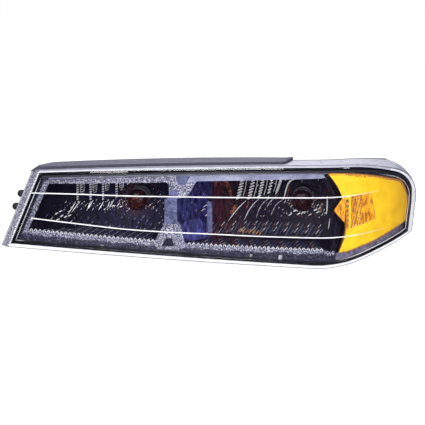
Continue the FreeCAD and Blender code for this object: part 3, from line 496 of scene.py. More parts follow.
CLEAR = clear_plastic()
FROSTED = speckled("stippled polycarbonate", [
    (0.4, (0.08, 0.08, 0.115)), (0.5, (0.21, 0.21, 0.27)), (0.6, (0.48, 0.48, 0.56))], 560, 0.5, 0, 0.3)
MILKY = speckled("satin polycarbonate", [(0.3, (0.74, 0.75, 0.82)), (0.5, (0.88, 0.88, 0.92)),
                 (0.7, (0.96, 0.96, 0.98))], 90, 0.35, 0, 0.05, stretch=(0.3, 1, 1))
PALE = speckled("pale blue polycarbonate", [
    (0.3, (0.4, 0.43, 0.53)), (0.5, (0.46, 0.49, 0.59)), (0.7, (0.54, 0.57, 0.67))], 80, 0.35, 0, 0.05)
# EDGE paints the lens's rounded rim dark grey: painted shade for the clear edge's dark outline.
EDGE = moulded("polycarbonate rim painted shade", (0.24, 0.24, 0.31), 0.3, 0.03)
BLACK = moulded("black polypropylene", (0.013, 0.013, 0.016), 0.38, 0.06)
LIP = moulded("black gloss plastic", (0.004, 0.004, 0.006), 0.22, 0.02)
SILVER = speckled("silver spark texture", [(0.38, (0.03, 0.032, 0.065)), (0.5, (0.15, 0.155, 0.23)),
                  (0.63, (0.62, 0.62, 0.72))], 620, 0.42, 0.25, 0.3)
SLATE = speckled("slate satin paint", [
    (0.35, (0.035, 0.04, 0.1)), (0.5, (0.09, 0.1, 0.22)), (0.65, (0.16, 0.17, 0.34))], 240, 0.4, 0.2, 0.12)
NAVY = speckled("navy black paint", [(0.43, (0.012, 0.012, 0.03)), (0.57, (0.032, 0.033, 0.075)),
                (0.68, (0.24, 0.24, 0.34))], 420, 0.35, 0.1, 0.15)
FOIL = speckled("crumpled navy foil", [(0.42, (0.004, 0.004, 0.016)), (0.56, (0.014, 0.015, 0.055)),
                (0.68, (0.07, 0.075, 0.15))], 330, 0.3, 0.1, 0.4, -40, (1, 1, 0.3))
SATIN = speckled("satin lavender paint", [
    (0.3, (0.2, 0.21, 0.34)), (0.5, (0.3, 0.31, 0.46)), (0.7, (0.44, 0.45, 0.6))], 90, 0.4, 0.15, 0.08)
PLUM = speckled("purple grey satin", [
    (0.35, (0.1, 0.085, 0.15)), (0.5, (0.2, 0.18, 0.27)), (0.65, (0.32, 0.3, 0.38))], 260, 0.4, 0.1, 0.1)
# The bowls' colours along x are painted reflections: near-black to navy inboard, navy to dark red beside the
# outboard bulb.
LEFT_SMOKE = smoked_chrome("smoked chrome inboard", (152, 60, 8), 36, [
    (20, (0.002, 0.001, 0.004)), (78, (0.003, 0.002, 0.008)), (100, (0.007, 0.006, 0.026)),
    (150, (0.011, 0.009, 0.045)), (202, (0.01, 0.009, 0.036))])
RIGHT_SMOKE = smoked_chrome("smoked chrome outboard", (361, 60, 3), 42, [
    (211, (0.05, 0.05, 0.19)), (244, (0.03, 0.03, 0.14)), (252, (0.06, 0.009, 0.016)),
    (270, (0.035, 0.012, 0.014)), (300, (0.01, 0.007, 0.022)), (398, (0.012, 0.008, 0.02))])
# Colours of the raised ridges in the bowls and on the bezel teeth: painted highlights, painted dim glints and
# painted brown reflections of the amber bulbs.
GLINT = speckled("painted glint white", [
    (0.3, (0.88, 0.88, 0.92)), (0.5, (0.97, 0.97, 0.98)), (0.7, (1, 1, 1))], 300, 0.42, 0.4, 0.03)
FAINT = speckled("painted dim glint", [
    (0.38, (0.07, 0.07, 0.12)), (0.5, (0.42, 0.42, 0.5)), (0.62, (0.95, 0.93, 0.92))], 520, 0.4, 0.5, 0.03)
BROWN_REFLECTION = speckled("brown reflection", [
    (0.4, (0.05, 0.012, 0.012)), (0.52, (0.22, 0.06, 0.025)), (0.66, (0.55, 0.2, 0.07))], 420, 0.35, 0.4, 0.1)
CHROME = speckled("bright chrome", [(0.3, (0.72, 0.7, 0.68)), (0.7, (0.92, 0.9, 0.86))], 120, 0.1, 1, 0.1)
AMBER = tinted("amber acrylic", (1, 0.7, 0.02), (1, 0.57, 0.012), 415, 485, 0.25, 0.06)
AMBER_RIM = tinted("amber acrylic rim", (0.62, 0.25, 0.035), (0.5, 0.22, 0.06), 400, 490, 0.3, 0.06)
AMBER_DEEP = speckled("amber optics", [(0.38, (0.42, 0.12, 0.008)), (0.5, (0.8, 0.34, 0.012)),
                      (0.64, (1, 0.55, 0.03))], 330, 0.3, 0, 0.2, -20, (1, 1, 0.3))
AMBER_DARK = speckled("amber optics shade", [(0.4, (0.2, 0.07, 0.02)), (0.6, (0.48, 0.2, 0.06))],
                      500, 0.3, 0, 0.1)
RIB = tinted("frosted rib", (0.95, 0.95, 0.97), (0.95, 0.95, 0.97), 0, 400, 0.4, 0.02)
RIB_WARM = tinted("frosted rib over amber", (1, 0.94, 0.74), (1, 0.84, 0.42), 408, 456, 0.4, 0.02)
FOAM = foam("ribbed weatherstrip", (0.02, 0.021, 0.04), (0.06, 0.063, 0.1))
# The paler foam on the rib crests is a painted highlight.
FOAM_CREST_HIGHLIGHT = foam("ribbed weatherstrip crest highlight", (0.08, 0.082, 0.13), (0.2, 0.205, 0.28))
FINISHES = {
    "clear_lens": CLEAR,
    "sealant": moulded("butyl sealant", (0.03, 0.03, 0.033), 0.6, 0.2, 500),
    "housing_black": BLACK,
    "bezel_silver": SILVER,
    "dark_chrome": LEFT_SMOKE,
    "bright_chrome": CHROME,
    "amber_lens": AMBER,
    "foam_black": FOAM,
    "rubber_black": moulded("black rubber", (0.018, 0.018, 0.02), 0.6, 0.1, 900),
    "zinc_steel": metal("zinc plated steel", (0.62, 0.63, 0.62), 0.3),
    "nylon_white": moulded("natural nylon", (0.72, 0.71, 0.66), 0.42, 0.04, blotch=0.05),
    "nylon_grey": moulded("grey nylon", (0.16, 0.17, 0.18), 0.45, 0.05),
    "holder_grey": moulded("grey holder plastic", (0.035, 0.035, 0.038), 0.42, 0.05, blotch=0.12),
    "brass": metal("brass", (0.72, 0.5, 0.22), 0.28),
    "bulb_amber": bulb_glass(),
    "bulb_plastic": moulded("bulb base plastic", (0.05, 0.05, 0.055), 0.4, 0.03),
    "tungsten": metal("tungsten", (0.4, 0.39, 0.37), 0.35),
    "membrane": moulded("vent membrane", (0.78, 0.78, 0.76), 0.8, 0.1, 1200, 0.05),
}
for part in frame["record"]["subparts"]:
    mesh = NODES[part["node"]].data
    mesh.materials.clear()
    mesh.materials.append(FINISHES[part["material_slot"]])

# ---- swept beads
SECTION = [(cos(a), sin(a)) for a in np.linspace(0, 2 * pi, 9)[:-1]]
NUDGE = 0.4


def even(line, step):
    """An open line with points every step or so, its corners rounded off."""
    places = []
    for a, b in zip(line, line[1:]):
        count = max(2, ceil(hypot(b[0] - a[0], b[1] - a[1]) / step))
        places += [(a[0] + (b[0] - a[0]) * k / count, a[1] + (b[1] - a[1]) * k / count) for k in range(count)]
    places.append(tuple(line[-1]))
    spots = np.array(places, float)
    for _ in range(30):
        spots[1:-1] = (spots[:-2] + spots[1:-1] * 2 + spots[2:]) / 4
    return spots


class Beads(Shell):
    """Swept beads; each follows a front-view line on a surface y(x, z)."""

    def sweep(self, line, surface, wide, tall, kind=0, closed=False, taper=None):
        """Round bead of a width and height; taper(share) scales it along the line."""
        line = [np.array(tuple(p), float) for p in line]
        count = len(line)

        def slope(spot, way):
            """Rise of the surface along a direction."""
            return (surface(*(spot + way * NUDGE)) - surface(*(spot - way * NUDGE))) / (2 * NUDGE)

        loops = []
        for i, spot in enumerate(line):
            before = line[i - 1] if (i or closed) else spot
            after = line[(i + 1) % count] if (i + 1 < count or closed) else spot
            way = after - before
            way = way / (hypot(*way) or 1)
            side = np.array((-way[1], way[0]))
            across = Vector((side[0], slope(spot, side), side[1])).normalized()
            out = across.cross(Vector((way[0], slope(spot, way), way[1]))).normalized()
            if out.y > 0:
                out = -out
            scale = taper(i / max(1, count - 1)) if taper else 1
            centre = Vector((spot[0], surface(*spot), spot[1]))
            across, out = across * (wide / 2 * scale), out * (tall * scale)
            loops.append([tuple(centre + across * c + out * n) for c, n in SECTION])
        self.rings(loops, kind, joined=closed, capped=not closed)

    def rod(self, a, b, r, kind=0):
        """A straight round rod between two places."""
        way = (Vector(b) - Vector(a)).normalized()
        one = way.orthogonal().normalized()
        two = way.cross(one)
        ends = [[tuple(Vector(end) + one * (c * r) + two * (n * r)) for c, n in SECTION] for end in (a, b)]
        self.rings(ends, kind, capped=True)


def fade(share, reach=0.12, least=0.15):
    """Taper at both ends of a bead."""
    return min(1, least + (1 - least) * min(share, 1 - share) / reach)


def rounding(r, depth, angles):
    """Inward shift and depth of each step round an edge."""
    return [(r * (1 - sin(radians(t))), depth + r * (1 - cos(radians(t)))) for t in angles]


# ---- clear lens
RING = lens_line(3, 4, 11.9, 6.3)
CLEAR_FACE, RING_FACE, BEVEL_FACE, EDGE_FACE, SKIRT_FACE = range(5)
WHITE_LINE = 1.9
TOP_BAND = 2.6
WALL = 2.8


def lens_face(x, z, depth, reach=0):
    """y of the lens's surface, with its beveled inboard edge."""
    wide = x - left_x(z) - reach
    if wide < BEVEL_WIDE:
        return skin(x - wide + BEVEL_WIDE, depth) + BEVEL_DEEP * (1 - wide / BEVEL_WIDE)
    return on_end(x, depth, reach)


def crown(x):
    """z of the lens's outline along its top."""
    if x < 412:
        return 54.5 + 6 * (x - 36.8) / 375.2 + bow(x - 224.4, 187.6, 4600)
    return 60.5 - 10.2 * ((x - 412) / 62) ** 1.6


def slanted(away, margin):
    """A line along the inboard edge, at a distance from it."""
    return [Vector((left_x(z) + away, z)) for z in np.linspace(-40 + margin, 53.5 - margin, 40)]


def lens_side(lens, wall):
    """One side of the lens: rounded front, skirt and end, open at the rear."""
    base = lens_line(wall, wall, wall, wall)
    r = 0.7 if wall else 1.3
    loops = []
    for cut, depth in rounding(r, wall, (0, 22, 45, 68, 90)):
        loops.append([(p.x, lens_face(p.x, p.y, depth, wall), p.y) for p in inset(base, cut)])
    for depth in (wall + 6, 16, 27, SKIRT):
        reach = [max(on_end(p.x, depth, wall), lens_face(p.x, p.y, wall + r, wall)) for p in base]
        loops.append([(p.x, y, p.y) for p, y in zip(base, reach)])
    folds = [slanted(wall + BEVEL_WIDE, wall + 1.6), slanted(wall + WHITE_LINE, wall + 1.6), RING + RING[:1]]
    if not wall:
        folds.append([Vector((x, crown(x) - TOP_BAND)) for x in np.linspace(52, 466, 110)])
    flat, tris = fill(inset(base, r), spacing=5, lines=folds)
    middle = middles(flat, tris)
    kinds = []
    for (x, z), clear in zip(middle, inside(middle, RING)):
        away = x - left_x(z) - wall
        if clear and away > BEVEL_WIDE:
            kinds.append(CLEAR_FACE)
        elif away < BEVEL_WIDE + 1.2:
            kinds.append(RING_FACE if away < WHITE_LINE else BEVEL_FACE)
        else:
            kinds.append(SKIRT_FACE if z > crown(x) - TOP_BAND and x < 470 else RING_FACE)
    lens.take([(p.x, lens_face(p.x, p.y, wall, wall), p.y) for p in flat], tris, kinds)
    # The rounded rim takes EDGE_FACE, painted shade.
    lens.rings(loops, [EDGE_FACE] * 4 + [SKIRT_FACE] * 4)
    flat, tris = fill([p for p in base if p.x > REAR_X - wall], spacing=6)
    lens.take([(p.x, end_plane(p.x, wall), p.y) for p in flat], tris, SKIRT_FACE)


REAR_X = WRAP_X + (WRAP_R - SKIRT) * sin(END)
lens = Shell()
lens_side(lens, 0)
lens_side(lens, WALL)
outer_rear = [p for p in lens_line() if p.x <= REAR_X]
inner_rear = [p for p in lens_line(WALL, WALL, WALL, WALL) if p.x <= REAR_X - WALL]
flat, tris = fill(outer_rear, [inner_rear], spacing=50)
lens.take(list(map(sheet(SKIRT, 0), flat)), tris, SKIRT_FACE)
lens.add("clear_lens", "clear_lens", [CLEAR, MILKY, FROSTED, EDGE, PALE], ["outer_lens"])

WARM_FROM = 408
RIBS = {
    "lens_rib_upper": [(36, 26), (97, 26), (145, 24.6), (214, 23.9), (300, 22.5), (359, 21.3), (399, 20.4),
                       (413, 20.5), (431, 21.9), (454, 24.4)],
    "lens_rib_lower": [(35, -4.9), (96, -10.7), (150, -16.3), (214, -20), (246, -21), (300, -24.5),
                       (360, -27.5), (396, -29.5), (414, -29), (433, -28), (462, -23.9)],
}
for name, line in RIBS.items():
    bead = Beads()
    bead.sweep(even(line, 4), lambda x, z: skin(x, 3.35), 1.5, 0.45,
               taper=lambda share: min(1, (1 - share) * 9 + 0.25))
    bead.kinds = [1 if bead.verts[f[0]][0] > WARM_FROM else 0 for f in bead.faces]
    bead.add(name, "clear_lens", [RIB, RIB_WARM])

# ---- housing lip, painted highlight line and field
lip = Beads()
lip.sweep(lens_line(5, 4.9, 13.3, 7.6), lambda x, z: on_end(x, 6, 1), 3.6, 1.3, closed=True)
lip.add("housing_lip_bead", "housing_black", [LIP])
tab = Beads()
tab.sweep([(335.4, -57), (335.8, -54), (336.2, -51)], lambda x, z: skin(x, 16.6), 4.4, 0.7)
tab.add("lip_tab", "clear_lens", [PALE])

# A thin pale bead inside the housing's lip: painted highlight along the lip's inner edge.
bright = Beads()
track = lens_line(11.4, 7.3, 15.7, 10.4)
for spans in (((455, 44), (404, -54)), ((26, -33), (50, 44))):
    first, last = (min(range(len(track)), key=lambda i: (track[i] - Vector(spot)).length) for spot in spans)
    turned = track[first:] + track[:first]
    stretch = turned[:(last - first) % len(track)]
    bright.sweep(stretch, lambda x, z: on_end(x, 7.5, 2), 0.9, 0.5, taper=fade)
bright.add("lip_edge_line", "clear_lens", [MILKY])

FIELD = [(17.9, -30.6), (50.3, 40, 4200), (387, 48.4), (391.3, 49.4, 247), (483, 31, 60), (493.5, -4),
         (491, -23), (449.8, -39.5), (416, -49.4), (400, -54.6), (180, -42.6)]


def field_depth(x):
    """Depth of the band between the lip and the bezel, nearer beside the marker."""
    return 18 - 5 * min(1, max(0, (x - 395) / 30))


def behind_lip(more):
    """Puts front-view points on the band, or further back."""
    return lambda p: (p.x, on_end(p.x, field_depth(p.x) + more, 3), p.y)


def field():
    """Painted band that fills the gap between the housing's lip and the bezel; its navy along the bottom, the
    inboard side and the upper part beside the marker is painted shade of that gap.
    """
    satin, navy, plum = range(3)
    outer = lens_line(8.6, 4.4, 12.8, 12)
    points, tris = fill(outer, [inset(outline(FIELD, 3), 1.6)], 4)
    kinds = []
    for x, z in middles(points, tris):
        beside = x > 404
        low = z < -27.6 - 0.065 * (x - 18)
        kinds.append(plum if beside and z < 0 else navy if low or beside or x < left_x(z) + 24 else satin)
    band = Shell()
    band.thick(points, tris, behind_lip(0), behind_lip(1.2), kinds, navy)
    band.add("bezel_surround", "bezel_silver", [SATIN, NAVY, PLUM])


field()

# ---- bezel
BEZEL_FRONT, BEZEL_BACK = 15, 17.2
WINDOW_IN = [(27.8, -22.3), (55.2, 35.8), (198.5, 39.6), (201.7, 36.4), (201.7, 21.4), (196.3, 17.7),
             (196.1, -9.3), (194.2, -14.3), (184.3, -33.5)]
WINDOW_OUT = [(223, -36.7), (220, -34.2), (216, -14.2), (211.2, -8), (211.3, 19.6), (223.4, 21.5),
              (235.1, 40.9), (385, 42.4, 103), (396, -47.4)]
BEZEL = [(17.9, -30.6), (50.3, 40, 4200), (385.4, 48.6, 103), (400.2, -55), (180, -42.6)]
NOTCH_TOP = [(212.5, 36), (210.1, 46.9), (227.5, 46.9), (221, 36)]
NOTCH_LOW = [(192.1, -39.3), (197.7, -29.2), (205, -29.2), (207.9, -39.3)]
BESIDE = [(384.6, 42.4), (430, 42.4), (430, -49.4), (396.1, -49.4, -103)]
TEETH = ((WINDOW_IN[8], (29, -22.5)), ((388, -47), WINDOW_OUT[0]))


def sill(x):
    """z of the windows' lower edges."""
    return -22.3 - 0.0716 * (x - 27.8) if x < 200 else -36.7 - 0.0618 * (x - 223)


def saw(a, b, pitch=5.3, deep=2.6):
    """Teeth along a window's lower edge in clockwise order, pointing into the window."""
    a, b = Vector(a), Vector(b)
    count = round((b - a).length / pitch)
    up = Vector(((b - a).y, -(b - a).x)).normalized()
    line = []
    for k in range(count):
        line += [tuple(a.lerp(b, (k + 0.1) / count)), tuple(a.lerp(b, (k + 0.45) / count) + up * deep),
                 tuple(a.lerp(b, (k + 0.8) / count))]
    return line


window_in = outline([*WINDOW_IN[:8], *saw(*TEETH[0]), WINDOW_IN[0]], 3)
window_out = outline([*WINDOW_OUT[1:8], (396.5, -49.4), *saw(*TEETH[1]), WINDOW_OUT[0]], 3)
notches = [outline(NOTCH_TOP, 3), outline(NOTCH_LOW, 3)]
points, tris = fill(outline(BEZEL, 3), [window_in, window_out, *notches], 3)
middle = middles(points, tris)
silver, slate, navy, satin, smoke = range(5)
kinds = []
# Beside the marker the plate takes the outboard bowl's finish, RIGHT_SMOKE, whose colour is painted
# reflection.
for (x, z), dark in zip(middle, inside(middle, outline(BESIDE, 3))):
    pillar = 194.5 < x < 213 and -12.5 < z < 30
    low = z < sill(x) - 4.8 and not 186 < x < 214
    brow = z > 39.5 and x > 214
    kinds.append(smoke if dark else navy if low else slate if pillar else satin if brow else silver)
plate = Shell()
plate.thick(points, tris, sheet(BEZEL_FRONT), sheet(BEZEL_BACK), kinds)
plate.add("bezel_plate", "bezel_silver", [SILVER, SLATE, NAVY, SATIN, RIGHT_SMOKE], ["bezel"], soften=0.35)

# Pale beads along the window teeth: painted highlights on the tooth edges.
teeth = Beads()
for span in TEETH:
    line = saw(*span)
    for k in range(0, len(line) - 2, 3):
        teeth.sweep(line[k:k + 3], lambda x, z: skin(x, BEZEL_FRONT + 0.1), 0.9, 0.35)
teeth.add("bezel_teeth", "bezel_silver", [GLINT])

backs = Shell()
for kind, notch in enumerate(notches):
    points, tris = fill(inset(notch, -0.8), spacing=3)
    backs.thick(points, tris, sheet(BEZEL_BACK + 0.2), sheet(BEZEL_BACK + 1.2), kind)
backs.add("bezel_notch_backs", "bezel_silver", [SLATE, FOIL])

# ---- reflectors
BENDS = {"inboard": 150, "outboard": 170}
BULB_HOLE = 14.8
BOWL_WALL = 1.6


def dish(side, x, z):
    """y of a reflector's dish."""
    cx, deep, cz = LAMPS[side]
    bend = BENDS[side]
    return deep - 9 - bend + sqrt(max(bend * bend - (x - cx) ** 2 - (z - cz) ** 2, 0))


def step_up(value, low, high):
    """0 below low, 1 above high, smooth between."""
    t = min(1, max(0, (value - low) / (high - low)))
    return t * t * (3 - 2 * t)


def pillow(u):
    """Height of a convex flute across its width, 0 in the grooves and 1 at the crown."""
    t = u - floor(u)
    return 4 * t * (1 - t)


def relief(x, z, first, last, turn_z, pitch):
    """How far the flutes and the lower diagonal facets stand in front of the dish."""
    high = step_up(z, turn_z - 3, turn_z)
    across = step_up(x, first - 12, first) * (1 - step_up(x, last, last + 4))
    tall = 1.2 * pillow((x - first) / pitch) * across * high
    cross = 0.55 * pillow((x - 1.1 * z) / 6.4) * (1 - high)
    return tall + cross


def reflector(side, window, first, last, turn_z, pitch, paint):
    """Fluted bowl behind a bezel window."""
    rim = outline(window, 2)
    cx, _, cz = LAMPS[side]
    turns = np.linspace(0, 2 * pi, 49)[:-1]
    hole = [Vector((cx + BULB_HOLE * cos(a), cz + BULB_HOLE * sin(a))) for a in turns]
    points, tris = fill(rim, [hole], 1.5)

    def front(p):
        y = dish(side, p.x, p.y) - relief(p.x, p.y, first, last, turn_z, pitch)
        return (p.x, max(skin(p.x, 17.9), y), p.y)

    def wall(p, share):
        """A place between the bezel and the bowl."""
        start = skin(p.x, BEZEL_BACK + 0.2)
        return (p.x, start + (front(p)[1] - start) * share, p.y)

    bowl = Shell()
    bowl.thick(points, tris, front, lambda p: (p.x, front(p)[1] + BOWL_WALL, p.y))
    steps = ((0.3, 0), (0.3, 0.5), (0.3, 1), (-0.8, 1), (-0.8, 0), (0.3, 0))
    bowl.rings([[wall(p, share) for p in inset(rim, cut)] for cut, share in steps])
    bowl.add("reflector_bowl_" + side, "dark_chrome", [paint], ["reflector_" + side], sharp=32)


reflector("inboard", WINDOW_IN, 78, 142, 6, 15.6, LEFT_SMOKE)
reflector("outboard", WINDOW_OUT, 279, 350, 4, 12.6, RIGHT_SMOKE)

# ---- raised ridges in the bowls, coloured as painted highlights and reflections
GLINT_RIDGE_SET = [GLINT, FAINT, BROWN_REFLECTION, AMBER_DEEP, SLATE]
GLEAM, DIM, BROWN, GOLD, GREY = range(5)
GOLDEN_ANGLE = 2.39996


class GlintRidges(Beads):
    """The bright flutes, curved lines, glints and brown streaks of one bowl: raised ridges whose colours are
    painted highlights and painted reflections.
    """

    def __init__(self, side):
        super().__init__()
        self.side = side

    def on(self, x, z):
        """y of the ridges' feet, just in front of the bowl."""
        return max(skin(x, 18.2), dish(self.side, x, z)) - 0.9

    def column(self, top, foot, wide, gap, lean, kind=GLEAM):
        """A flute's crest as a painted highlight: short beads one under another, each slanted."""
        (x0, z0), (x1, z1) = top, foot
        count = round((z0 - z1) / gap)
        for k in range(count):
            share = (k + 0.5) / count
            x, z = x0 + (x1 - x0) * share, z0 + (z1 - z0) * share
            half = wide * (1 - 0.25 * abs(2 * share - 1)) / 2
            self.sweep([(x - half, z - lean), (x, z), (x + half, z + lean)], self.on, gap * 0.58, 0.9, kind)

    def trail(self, line, wide, kind):
        """A thin curved ridge that fades out at its ends."""
        self.sweep(even(line, 1.6), self.on, wide, wide * 0.4, kind,
                   taper=lambda share: fade(share, 0.25, 0.2))

    def sparkle(self, xs, zs, count, kinds, long):
        """Painted glints: short ridges spread evenly over a patch, leaning to the right."""
        for k in range(count):
            x = xs[0] + (xs[1] - xs[0]) * ((k * 0.618034) % 1)
            z = zs[0] + (zs[1] - zs[0]) * ((k * 0.754878 + 0.3) % 1)
            size = long * (0.55 + 0.45 * sin(k * 1.9))
            dx, dz = size * 0.6, size * 0.8
            wide = 0.7 + 0.45 * sin(k * 2.7) ** 2
            self.trail([(x - dx, z - dz), (x + dx, z + dz)], wide, kinds[k % 3])

    def halo(self, cx, cz, count, reach, swing, beat, squash, half):
        """Brown marks set round a bulb: painted reflections of its amber glass."""
        for k in range(count):
            a, r = k * GOLDEN_ANGLE, reach + swing * sin(k * beat)
            x, z = cx + r * cos(a) * squash, cz + r * sin(a)
            dx, dz = half * sin(a), half * cos(a)
            self.trail([(x - dx, z + dz), (x + dx, z - dz)], 1.5, BROWN)

    def floor_rods(self, start, stop, slope, edge, kinds, drift):
        """Three rows of rods that run back along the bay's floor, coloured as painted reflections."""
        pitch, lean = 4.7, 3.4
        for row, (near, far) in enumerate(((20, 31), (33, 44), (46, 58))):
            for k in range(int((stop - start) / pitch)):
                x = start + pitch * k + 2.4 * row
                z = edge + slope * (x - start) + 0.7
                a, b = (x, skin(x, near), z), (x + lean, skin(x + lean, far), z)
                if x + lean < stop and b[1] < dish(self.side, x + lean, z) - 1:
                    self.rod(a, b, 0.55, kinds[(k + drift * row) % len(kinds)])

    def done(self):
        self.add("reflector_glint_ridges_" + self.side, "bright_chrome", GLINT_RIDGE_SET)


def inboard_glint_ridges():
    """Four columned flutes, the curved ridges under them and the speckle of the inboard bowl, coloured as
    painted highlights and reflections.
    """
    bowl = GlintRidges("inboard")
    column, trail, sparkle = bowl.column, bowl.trail, bowl.sparkle
    for x, foot_z, wide in ((81.3, 7.4, 2.4), (96.2, 6.1, 2.6), (111, 5.5, 2.5), (127.6, 8, 3)):
        column((x, 34), (x - 0.6, foot_z), wide, 3.1, 0.4)
    for x, foot_z, wide in ((86.8, 14, 5.6), (101.6, 15, 4.8), (116.5, 17, 4.2), (134, 17, 3.4)):
        column((x, 34), (x - 0.4, foot_z), wide, 2.8, 0.7, DIM)
        trail([(x - 2.6, 33.5), (x - 2.8, foot_z)], 0.9, GLEAM)
        trail([(x + 2.2, 33.5), (x + 1.6, foot_z + 3)], 0.8, GLEAM)
    for line in ([(84.6, 7), (79, 0.5), (74.1, -7)], [(78.6, 6.3), (76, 0), (69.5, -9)],
                 [(95.8, 4.9), (92.3, -3.7)], [(99, 7), (96, 1), (91, -6.5)],
                 [(111.3, 4), (108.6, -1), (105, -7)], [(118.6, 3.7), (116, -4)],
                 [(124, 6), (120, 0), (118, -5)], [(131.5, 2.5), (127.2, -3.5)]):
        trail(line, 1.1, GLEAM)
    for x, z in ((57.8, -6.1), (63.2, -10), (59.4, -13.6), (71.9, -10.4), (67.5, -11.5), (122.5, -2),
                 (132.4, -3.2), (143.4, -2.4), (62, -4)):
        trail([(x - 1.9, z - 0.8), (x, z), (x + 1.9, z + 0.5)], 1.2, GLEAM)
        trail([(x - 0.4, z - 1.8), (x + 0.2, z + 1.6)], 0.8, DIM)
    for k in range(15):
        a = radians(118 - 11.5 * k)
        x, z = 161 + 25.5 * cos(a), -25 + 22.5 * sin(a)
        trail([(x - 0.7, z - 0.7), (x + 0.8, z + 0.8)], 1.1, DIM if k % 3 else GLEAM)
    sparkle((66, 190), (-7, 7), 90, (GLEAM, GLEAM, DIM), 1.7)
    sparkle((132, 190), (6, 34), 46, (BROWN, DIM, BROWN), 1.5)
    sparkle((46, 190), (-31, -6), 60, (GREY, GREY, DIM), 2.4)
    sparkle((36, 182), (-33, -26), 40, (GREY, DIM, GREY), 2.2)
    bowl.halo(152, 7, 22, 14, 3.2, 1.7, 1.15, 1.6)
    bowl.floor_rods(29, 180, -0.0716, -22.6, (GREY, DIM), 0)
    bowl.done()


def outboard_glint_ridges():
    """Four hatched bars, the long curved ridges, brown streaks and speckle of the outboard bowl, coloured as
    painted highlights and reflections.
    """
    bowl = GlintRidges("outboard")
    column, trail, sparkle = bowl.column, bowl.trail, bowl.sparkle
    bars = (((285.8, 34), (279.7, 5), 5.6), ((299.5, 34), (293.3, 4), 5.4), ((312, 34), (305.8, 6), 4.8),
            ((323.6, 34), (317.6, 10), 4.2))
    for top, foot, wide in bars:
        column(top, foot, wide, 3.7, 1.1)
        trail([(top[0] + 4.6, 34), (top[0] + 3.6, 20), (foot[0] + 4.4, foot[1] - 2)], 0.9, GLEAM)
    for line, wide in (([(335.4, 33), (332.6, 27.5), (330.4, 18), (326.6, 9)], 3.4),
                       ([(352, 29), (346, 29.4), (341.8, 24), (339.2, 12), (337, 3)], 2),
                       ([(344, 33), (341.5, 30), (338.6, 27)], 1.2)):
        trail(line, wide, GLEAM)
    for line in ([(290.5, 3.5), (280, -5.5), (267.8, -21.4)], [(305.5, 4), (294.7, -6.1), (287.4, -22)],
                 [(319, 5), (307.2, -4.2), (302.4, -20.5)], [(337, 3), (326.2, -3.6), (321.3, -17.5)],
                 [(329, 8), (320, 1), (315, -8)]):
        trail(line, 1, DIM if line[0][0] > 306 else GLEAM)
    # Brown streaks: painted reflections of the amber bulb.
    for line, wide in (([(262, 34), (266.5, 28), (269.5, 18), (271.8, 8.5)], 4.6),
                       ([(278, -1), (272.6, -8), (270.5, -14)], 5.2), ([(254, 33), (252, 22)], 2.4),
                       ([(293, 2), (290, -8)], 2.2), ([(344, 22), (341, 4)], 1.8),
                       ([(388, 34), (391, 24), (394, 12)], 3.2), ([(386, 0), (384, -12)], 2.2)):
        trail(line, wide, BROWN)
    bowl.halo(361, 2, 30, 12, 4, 1.3, 1.2, 1.7)
    for x, z, wide in ((352, -12, 2.2), (356.5, -16, 1.2), (362, -14.5, 1.2), (378, -10.5, 2),
                       (381, -13.5, 1.2), (346, -17, 1.2), (371, -17, 1), (243, -10, 1.2), (238.5, -3, 1),
                       (241, 1.5, 1)):
        trail([(x - 2.6, z - 1.2), (x, z), (x + 2.4, z + 1.6)], wide, GLEAM)
    trail([(392.4, 8), (392.8, -4), (392, -16)], 1.5, GLEAM)
    trail([(396.5, -20), (394.5, -34)], 1, GLEAM)
    # Gold strokes low in the bowl: painted amber reflections.
    for k in range(7):
        x = 283 + 4.2 * k
        trail([(x - 2, -36.5 - 0.9 * k), (x + 2.2, -31 - 0.9 * k)], 0.9, GOLD)
    rows = ((-23, 2.2, (GREY, BROWN, DIM)), (-29.5, 2.8, (GREY, DIM, GREY)), (-35, 2.4, (BROWN, GREY, DIM)))
    for row, (level, long, kinds) in enumerate(rows):
        for k in range(36):
            x = 226 + 4.5 * k + 1.5 * row
            z = level - 0.06 * (x - 232) - 1.2 * sin(k * 2.1 + row)
            if z > sill(x) + 2.7:
                trail([(x - long, z - long * 1.2), (x + long, z + long * 1.2)], 1, kinds[k % 3])
    sparkle((300, 392), (-22, 34), 110, (DIM, BROWN, GLEAM), 1.5)
    sparkle((336, 392), (-17, 4), 56, (GLEAM, DIM, GLEAM), 2.2)
    sparkle((255, 300), (-20, 32), 40, (BROWN, GREY, BROWN), 1.8)
    sparkle((214, 246), (-8, 34), 24, (GREY, GREY, DIM), 1.6)
    bowl.floor_rods(226, 386, -0.0618, -37, (DIM, GREY, GREY, BROWN), 1)
    bowl.done()


inboard_glint_ridges()
outboard_glint_ridges()


def web():
    """Upright slate rib and the angled step at the inboard end of the outboard bay."""
    parts = Shell()
    corners = [(246.4, -24), (246.4, 13.5), (252.6, 13.5), (252.6, -24)]
    points, tris = fill(outline(corners, 3), spacing=3)
    parts.thick(points, tris, lambda p: (p.x, skin(p.x, 25) + 0.25 * abs(p.x - 249.5), p.y), sheet(28))
    # The step takes the outboard bowl's finish, RIGHT_SMOKE, whose colour is painted reflection.
    corners = [(213.5, -16.5), (222, -8.5), (237, -6), (247, -17), (247, -30), (224, -34.5),
               (218, -31)]
    points, tris = fill(outline(corners, 3), spacing=2)
    parts.thick(points, tris, lambda p: (p.x, skin(p.x, 22) - 0.5 * pillow((p.x - p.y) / 4.6), p.y),
                sheet(25), 1)
    parts.add("bay_web", "bezel_silver", [SLATE, RIGHT_SMOKE], soften=0.3)


web()


# ---- amber marker
def drawn_in(line, amount, centre=Vector((446, -2))):
    """An outline whose points are moved straight towards a centre."""
    return [p + (centre - p).normalized() * amount for p in line]


